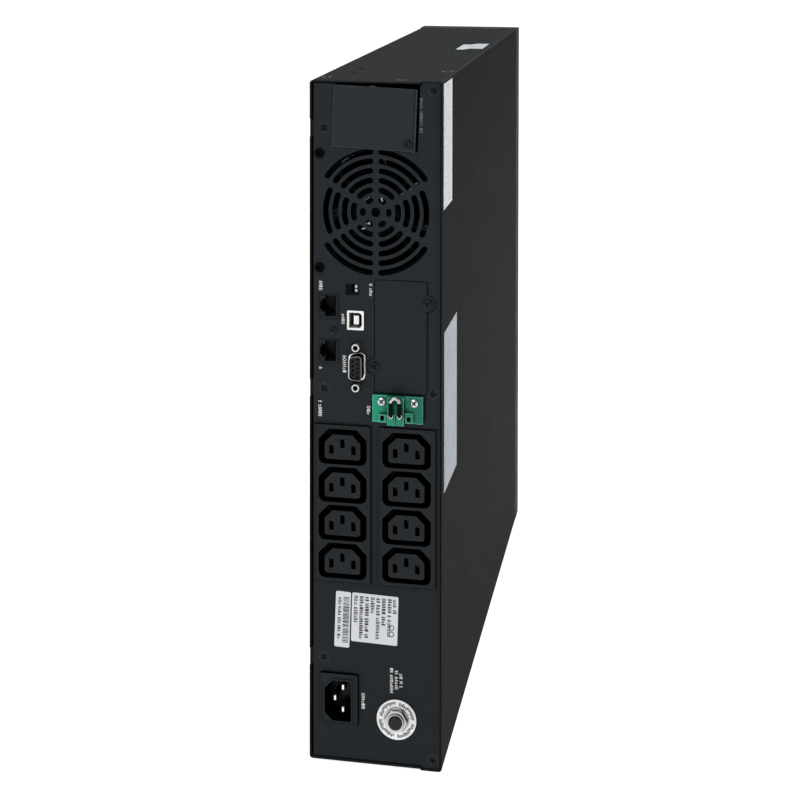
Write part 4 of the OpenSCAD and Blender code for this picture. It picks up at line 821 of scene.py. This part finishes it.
screen_lo, screen_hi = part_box("display_screen")
screen_c = Vector(((screen_lo.x + screen_hi.x) / 2, screen_hi.y, (screen_lo.z + screen_hi.z) / 2))
lcd = Piece("display_gauges", screen_c, FRONT_FACE)
for side in (-1, 1):
    for k in range(5):
        lcd.bar(side * 15 - 2.4, side * 15 + 2.4, -8.5 + 3.1 * k, -6.3 + 3.1 * k, 0, 0.04)
    lcd.ring(1.1, 1.5, 0, 0.04, 20, side * 15, 9.4)
lcd.bar(15, 15.5, 8.2, 10.6, 0, 0.04)
for k in range(3):
    lcd.bar(-7.5 + 5.4 * k, -3.5 + 5.4 * k, 8.6, 9.2, 0, 0.04)
for x in (-5.2, 0, 5.2):
    lcd.bar(x - 1.7, x + 1.7, 2.3, 2.9, 0, 0.04)
    lcd.bar(x - 1.7, x + 1.7, -4.7, -4.1, 0, 0.04)
    for edge in (-1.9, 1.5):
        lcd.bar(x + edge, x + edge + 0.5, -4.2, 2.4, 0, 0.04)
lcd.bar(-9.5, 9.5, -8.4, -8.0, 0, 0.04)
lcd.done(M["glow"], "display", smooth=False)

frame_ring = Piece("display_rim", Vector((screen_c.x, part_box("display_pod")[1].y, screen_c.z)), FRONT_FACE)
POD_R = (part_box("display_pod")[1].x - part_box("display_pod")[0].x) / 2 / MM
frame_ring.ring(POD_R - 2.2, POD_R - 1.4, -0.3, 0.0, 72)
frame_ring.done(M["dial"], "display")

lens_z = (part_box("display_pod")[0].z + key_c[0].z) / 2 / MM + 1.0
bezel_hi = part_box("display_bezel")[1]
BEZEL_EDGE, HALF_WIDTH = 20, 42.0
CROWN = (bezel_hi.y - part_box("display_bezel")[0].y) / MM - BEZEL_EDGE
crown_r = (HALF_WIDTH ** 2 + CROWN ** 2) / (2 * CROWN)


def crown_y(x_mm):
    """Where the curved front face is, x across from its middle."""
    return bezel_hi.y - (crown_r - math.sqrt(crown_r ** 2 - x_mm ** 2)) * MM


for k, (x, look) in enumerate(((-9, "led_green"), (0, "led_amber"), (9, "led_amber"))):
    lens = Piece(f"status_lens_{k + 1}", Vector((x * MM, crown_y(abs(x)), lens_z * MM)), FRONT_FACE)
    lens.lathe([(1.5, -1.2), (1.5, -0.1), (1.3, 0.12), (0.9, 0.25), (0.3, 0.3)], 24)
    lens.done(M[look])

# Leads from battery to battery in the drawer.
leads = Piece("battery_leads")
cell_lo, cell_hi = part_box("battery_cases")
mid_y = (cell_lo.y + cell_hi.y) / 2
tab_x = cell_lo.x + 12.4 * MM
zs = [cell_lo.z + o * MM for o in (12, 139)] + [cell_hi.z - o * MM for o in (139, 12)]
for i, (a, b) in enumerate(((0, 1), (1, 2), (2, 3))):
    za, zb = zs[a], zs[b]
    out = 5 * MM if i % 2 else 3 * MM
    leads.tube([Vector((tab_x, mid_y, za)), Vector((tab_x + 8 * MM, mid_y, za + out)),
                Vector((cell_hi.x + 3 * MM, mid_y, za + 12 * MM if zb > za else za - 12 * MM)),
                Vector((cell_hi.x + 3 * MM, mid_y, zb - 12 * MM)),
                Vector((tab_x + 8 * MM, mid_y, zb - out)), Vector((tab_x, mid_y, zb))], 1.7, 10)
leads.done(M["lead_sleeve"], "battery_drawer")


def rim_of(rows):
    """The outer vertices of a grid, once round."""
    return [r[0] for r in rows] + rows[-1][1:] + [r[-1] for r in rows[-2::-1]] + rows[0][-2:0:-1]


# The turning fan: a recessed hub with seven swept blades.
fan_lo, fan_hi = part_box("fan_rotor")
fan_c = (fan_lo + fan_hi) / 2
rotor_h = (fan_hi.y - fan_lo.y) / MM
fan = Piece("fan_impeller", Vector((fan_c.x, fan_hi.y, fan_c.z)))
HUB_R, TIP_R = 16.0, 36.8
fan.lathe([(0.2, 0), (HUB_R - 1.5, 0), (HUB_R - 0.3, 0.4), (HUB_R, 1.6), (HUB_R, rotor_h - 1),
           (HUB_R - 0.8, rotor_h - 0.2), (HUB_R - 2.2, rotor_h - 0.2), (HUB_R - 2.4, rotor_h - 2.5),
           (4, rotor_h - 2.5), (3.6, rotor_h - 0.4), (0.2, rotor_h - 0.4)], 64)
for b in range(7):
    sheet = []
    for side in (-1, 1):
        rows = []
        for i in range(9):
            u = i / 8
            r = HUB_R - 0.8 + (TIP_R - HUB_R + 0.8) * u
            sweep = 2 * math.pi * b / 7 + 0.3 * u * u
            row = []
            for j in range(7):
                v = j / 6
                thick = (0.25 + 0.75 * math.sin(math.pi * (0.12 + 0.8 * v))) * (1.25 - 0.5 * u)
                chord = math.radians(46 - 10 * u) * (v - 0.5)
                camber = 1.6 * math.sin(math.pi * v)
                h = rotor_h * (0.12 + 0.76 * v) + side * thick * 0.5
                t = sweep + chord + side * 0.3 * thick / r
                lift = h + camber * (0.5 - u) * 0.6
                row.append(fan.bm.verts.new(fan.spot(r * math.cos(t), r * math.sin(t), lift)))
            rows.append(row)
        sheet.append(rows)
    low, high = sheet
    for rows, flip in ((low, False), (high, True)):
        for i in range(8):
            for j in range(6):
                q = [rows[i][j], rows[i + 1][j], rows[i + 1][j + 1], rows[i][j + 1]]
                fan.bm.faces.new(q[::-1] if flip else q)
    rim_low, rim_high = rim_of(low), rim_of(high)
    for i in range(len(rim_low)):
        j = (i + 1) % len(rim_low)
        fan.bm.faces.new((rim_low[i], rim_low[j], rim_high[j], rim_high[i]))
fan_obj = fan.done(M["fan"], "fan")
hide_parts("fan_rotor")

# The plain round sticker on the fan's motor, with worn metallic specks, and the motor's two leads.
motor_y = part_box("fan_frame")[0].y
sticker = Piece("fan_sticker", Vector((fan_c.x, motor_y, fan_c.z)))
sticker.lathe([(0.2, -0.05), (12.8, -0.05), (12.8, 0.01), (12.6, 0.02), (0.2, 0.02)], 48)
sticker.done(M["fan"])
specks = Piece("fan_sticker_specks", Vector((fan_c.x, motor_y, fan_c.z)))
for x, y, w, h, turn in ((-7.6, 7.2, 3.2, 0.7, 20), (-5.4, 8.6, 1.6, 0.6, 5),
                         (3.4, 8.4, 0.9, 3.4, 10), (-6.6, -8.4, 1.0, 2.6, -25),
                         (-4.6, -7.2, 1.2, 1.6, 30), (-7.4, -10.4, 3.6, 0.8, 15)):
    specks.go(Vector((fan_c.x + x * MM, motor_y, fan_c.z + y * MM)), REAR_FACE, turn)
    specks.bar(-w / 2, w / 2, -h / 2, h / 2, 0.0, 0.05)
specks.done(M["foil"], smooth=False)
fan_leads = Piece("fan_leads")
for shift in (0, 1.9):
    fan_leads.tube([Vector((fan_c.x + (14 + 0.6 * shift + t * 12) * MM, motor_y + 1.1 * MM,
                            fan_c.z + (9.6 - 0.8 * shift + t * 9 + 0.5 * math.sin(9 * t)) * MM))
                    for t in (k / 10 for k in range(11))], 0.75, 10)
fan_leads.done(M["fan_lead"])

# ---------------------------------------------------------------- edges of the CAD nodes
SOFT = {
    0.35: ["outlet_block_left", "outlet_block_right", "inlet_housing", "drawer_front", "display_bezel",
           "display_pod"],
    0.6: ["inlet_pins"],
    0.18: ["battery_port_cover", "epo_header", "epo_plug", "usb_port", "surge_jacks",
           "breaker_nut", "breaker_button", "serial_shell", "serial_jackscrews",
           "power_button", "mute_button", "select_button", "dip_switch_body", "battery_cases"],
}
for width, names in SOFT.items():
    for name in names:
        round_edges(nodes[name], width)

# ---------------------------------------------------------------- stage
floor_mesh = bpy.data.meshes.new("floor")
floor_mesh.from_pydata([(-9, -9, -0.0006), (9, -9, -0.0006), (9, 9, -0.0006), (-9, 9, -0.0006)], [],
                       [(0, 1, 2, 3)])
floor = bpy.data.objects.new("floor", floor_mesh)
bpy.context.collection.objects.link(floor)
s = Shader("pale_floor")
s.set(Base_Color=rgb((0.9, 0.9, 0.9)), Roughness=0.9, Emission_Color=rgb((1, 1, 1)), Emission_Strength=0.8)
floor_mesh.materials.append(s.mat)

scene = bpy.context.scene
scene.view_settings.view_transform = "Standard"
world = bpy.data.worlds.new("studio")
scene.world = world
world.use_nodes = True
sky = world.node_tree
sky.nodes["Background"].inputs[0].default_value = (1, 1, 1, 1)
seen = sky.nodes.new("ShaderNodeLightPath").outputs["Is Camera Ray"]
level = sky.nodes.new("ShaderNodeMapRange")
level.inputs["To Min"].default_value, level.inputs["To Max"].default_value = 0.3, 1.0
sky.links.new(seen, level.inputs["Value"])
sky.links.new(level.outputs[0], sky.nodes["Background"].inputs[1])


def softbox(name, place, target, size, watts):
    data = bpy.data.lights.new(name, "AREA")
    data.shape = "RECTANGLE"
    data.size, data.size_y = size
    data.energy = watts
    lamp = bpy.data.objects.new(name, data)
    lamp.location = place
    lamp.rotation_mode = "QUATERNION"
    lamp.rotation_quaternion = (Vector(target) - Vector(place)).to_track_quat("-Z", "Y")
    bpy.context.collection.objects.link(lamp)


middle = (0, 0, 0.214)
softbox("key", (-0.9, -2.2, 1.7), middle, (1.6, 1.6), 26)
softbox("fill", (2.4, -1.0, 1.2), middle, (1.8, 1.8), 16)
softbox("top", (0, 0.2, 2.6), middle, (2.2, 2.2), 22)

# ---------------------------------------------------------------- camera
# A level shift lens, as in a product photograph: verticals stay vertical.
cam_data = bpy.data.cameras.new("camera")
cam = bpy.data.objects.new("camera", cam_data)
bpy.context.collection.objects.link(cam)
scene.camera = cam
cam_data.sensor_width = 36
cam_data.lens = 36 * 1592 / 800
cam_data.clip_start, cam_data.clip_end = 0.05, 50
turn = Vector((1.05, 10.57, 0.16)) * math.pi / 180
rot = Matrix.Rotation(turn.length, 3, turn.normalized()) @ Matrix(((1, 0, 0), (0, 0, -1), (0, 1, 0)))
away = Vector((-56.8, 523.0, 999.7)) * MM
corner = Vector((LEFT, REAR, LOW))
cam.location = corner - rot.transposed() @ away
cam.rotation_mode = "QUATERNION"
cam.rotation_quaternion = (rot.transposed() @ Matrix.Diagonal((1, -1, -1))).to_quaternion()
# The shift holds at this place only, so that a camera moved elsewhere looks straight ahead.
LENS_SHIFT = -0.5925
drive = cam_data.driver_add("shift_y").driver
drive.type = "SCRIPTED"
var = drive.variables.new()
var.name = "x"
var.type = "TRANSFORMS"
var.targets[0].id = cam
var.targets[0].transform_type = "LOC_X"
drive.expression = f"{LENS_SHIFT} if abs(x - {cam.location.x:.6f}) < 0.0005 else 0"
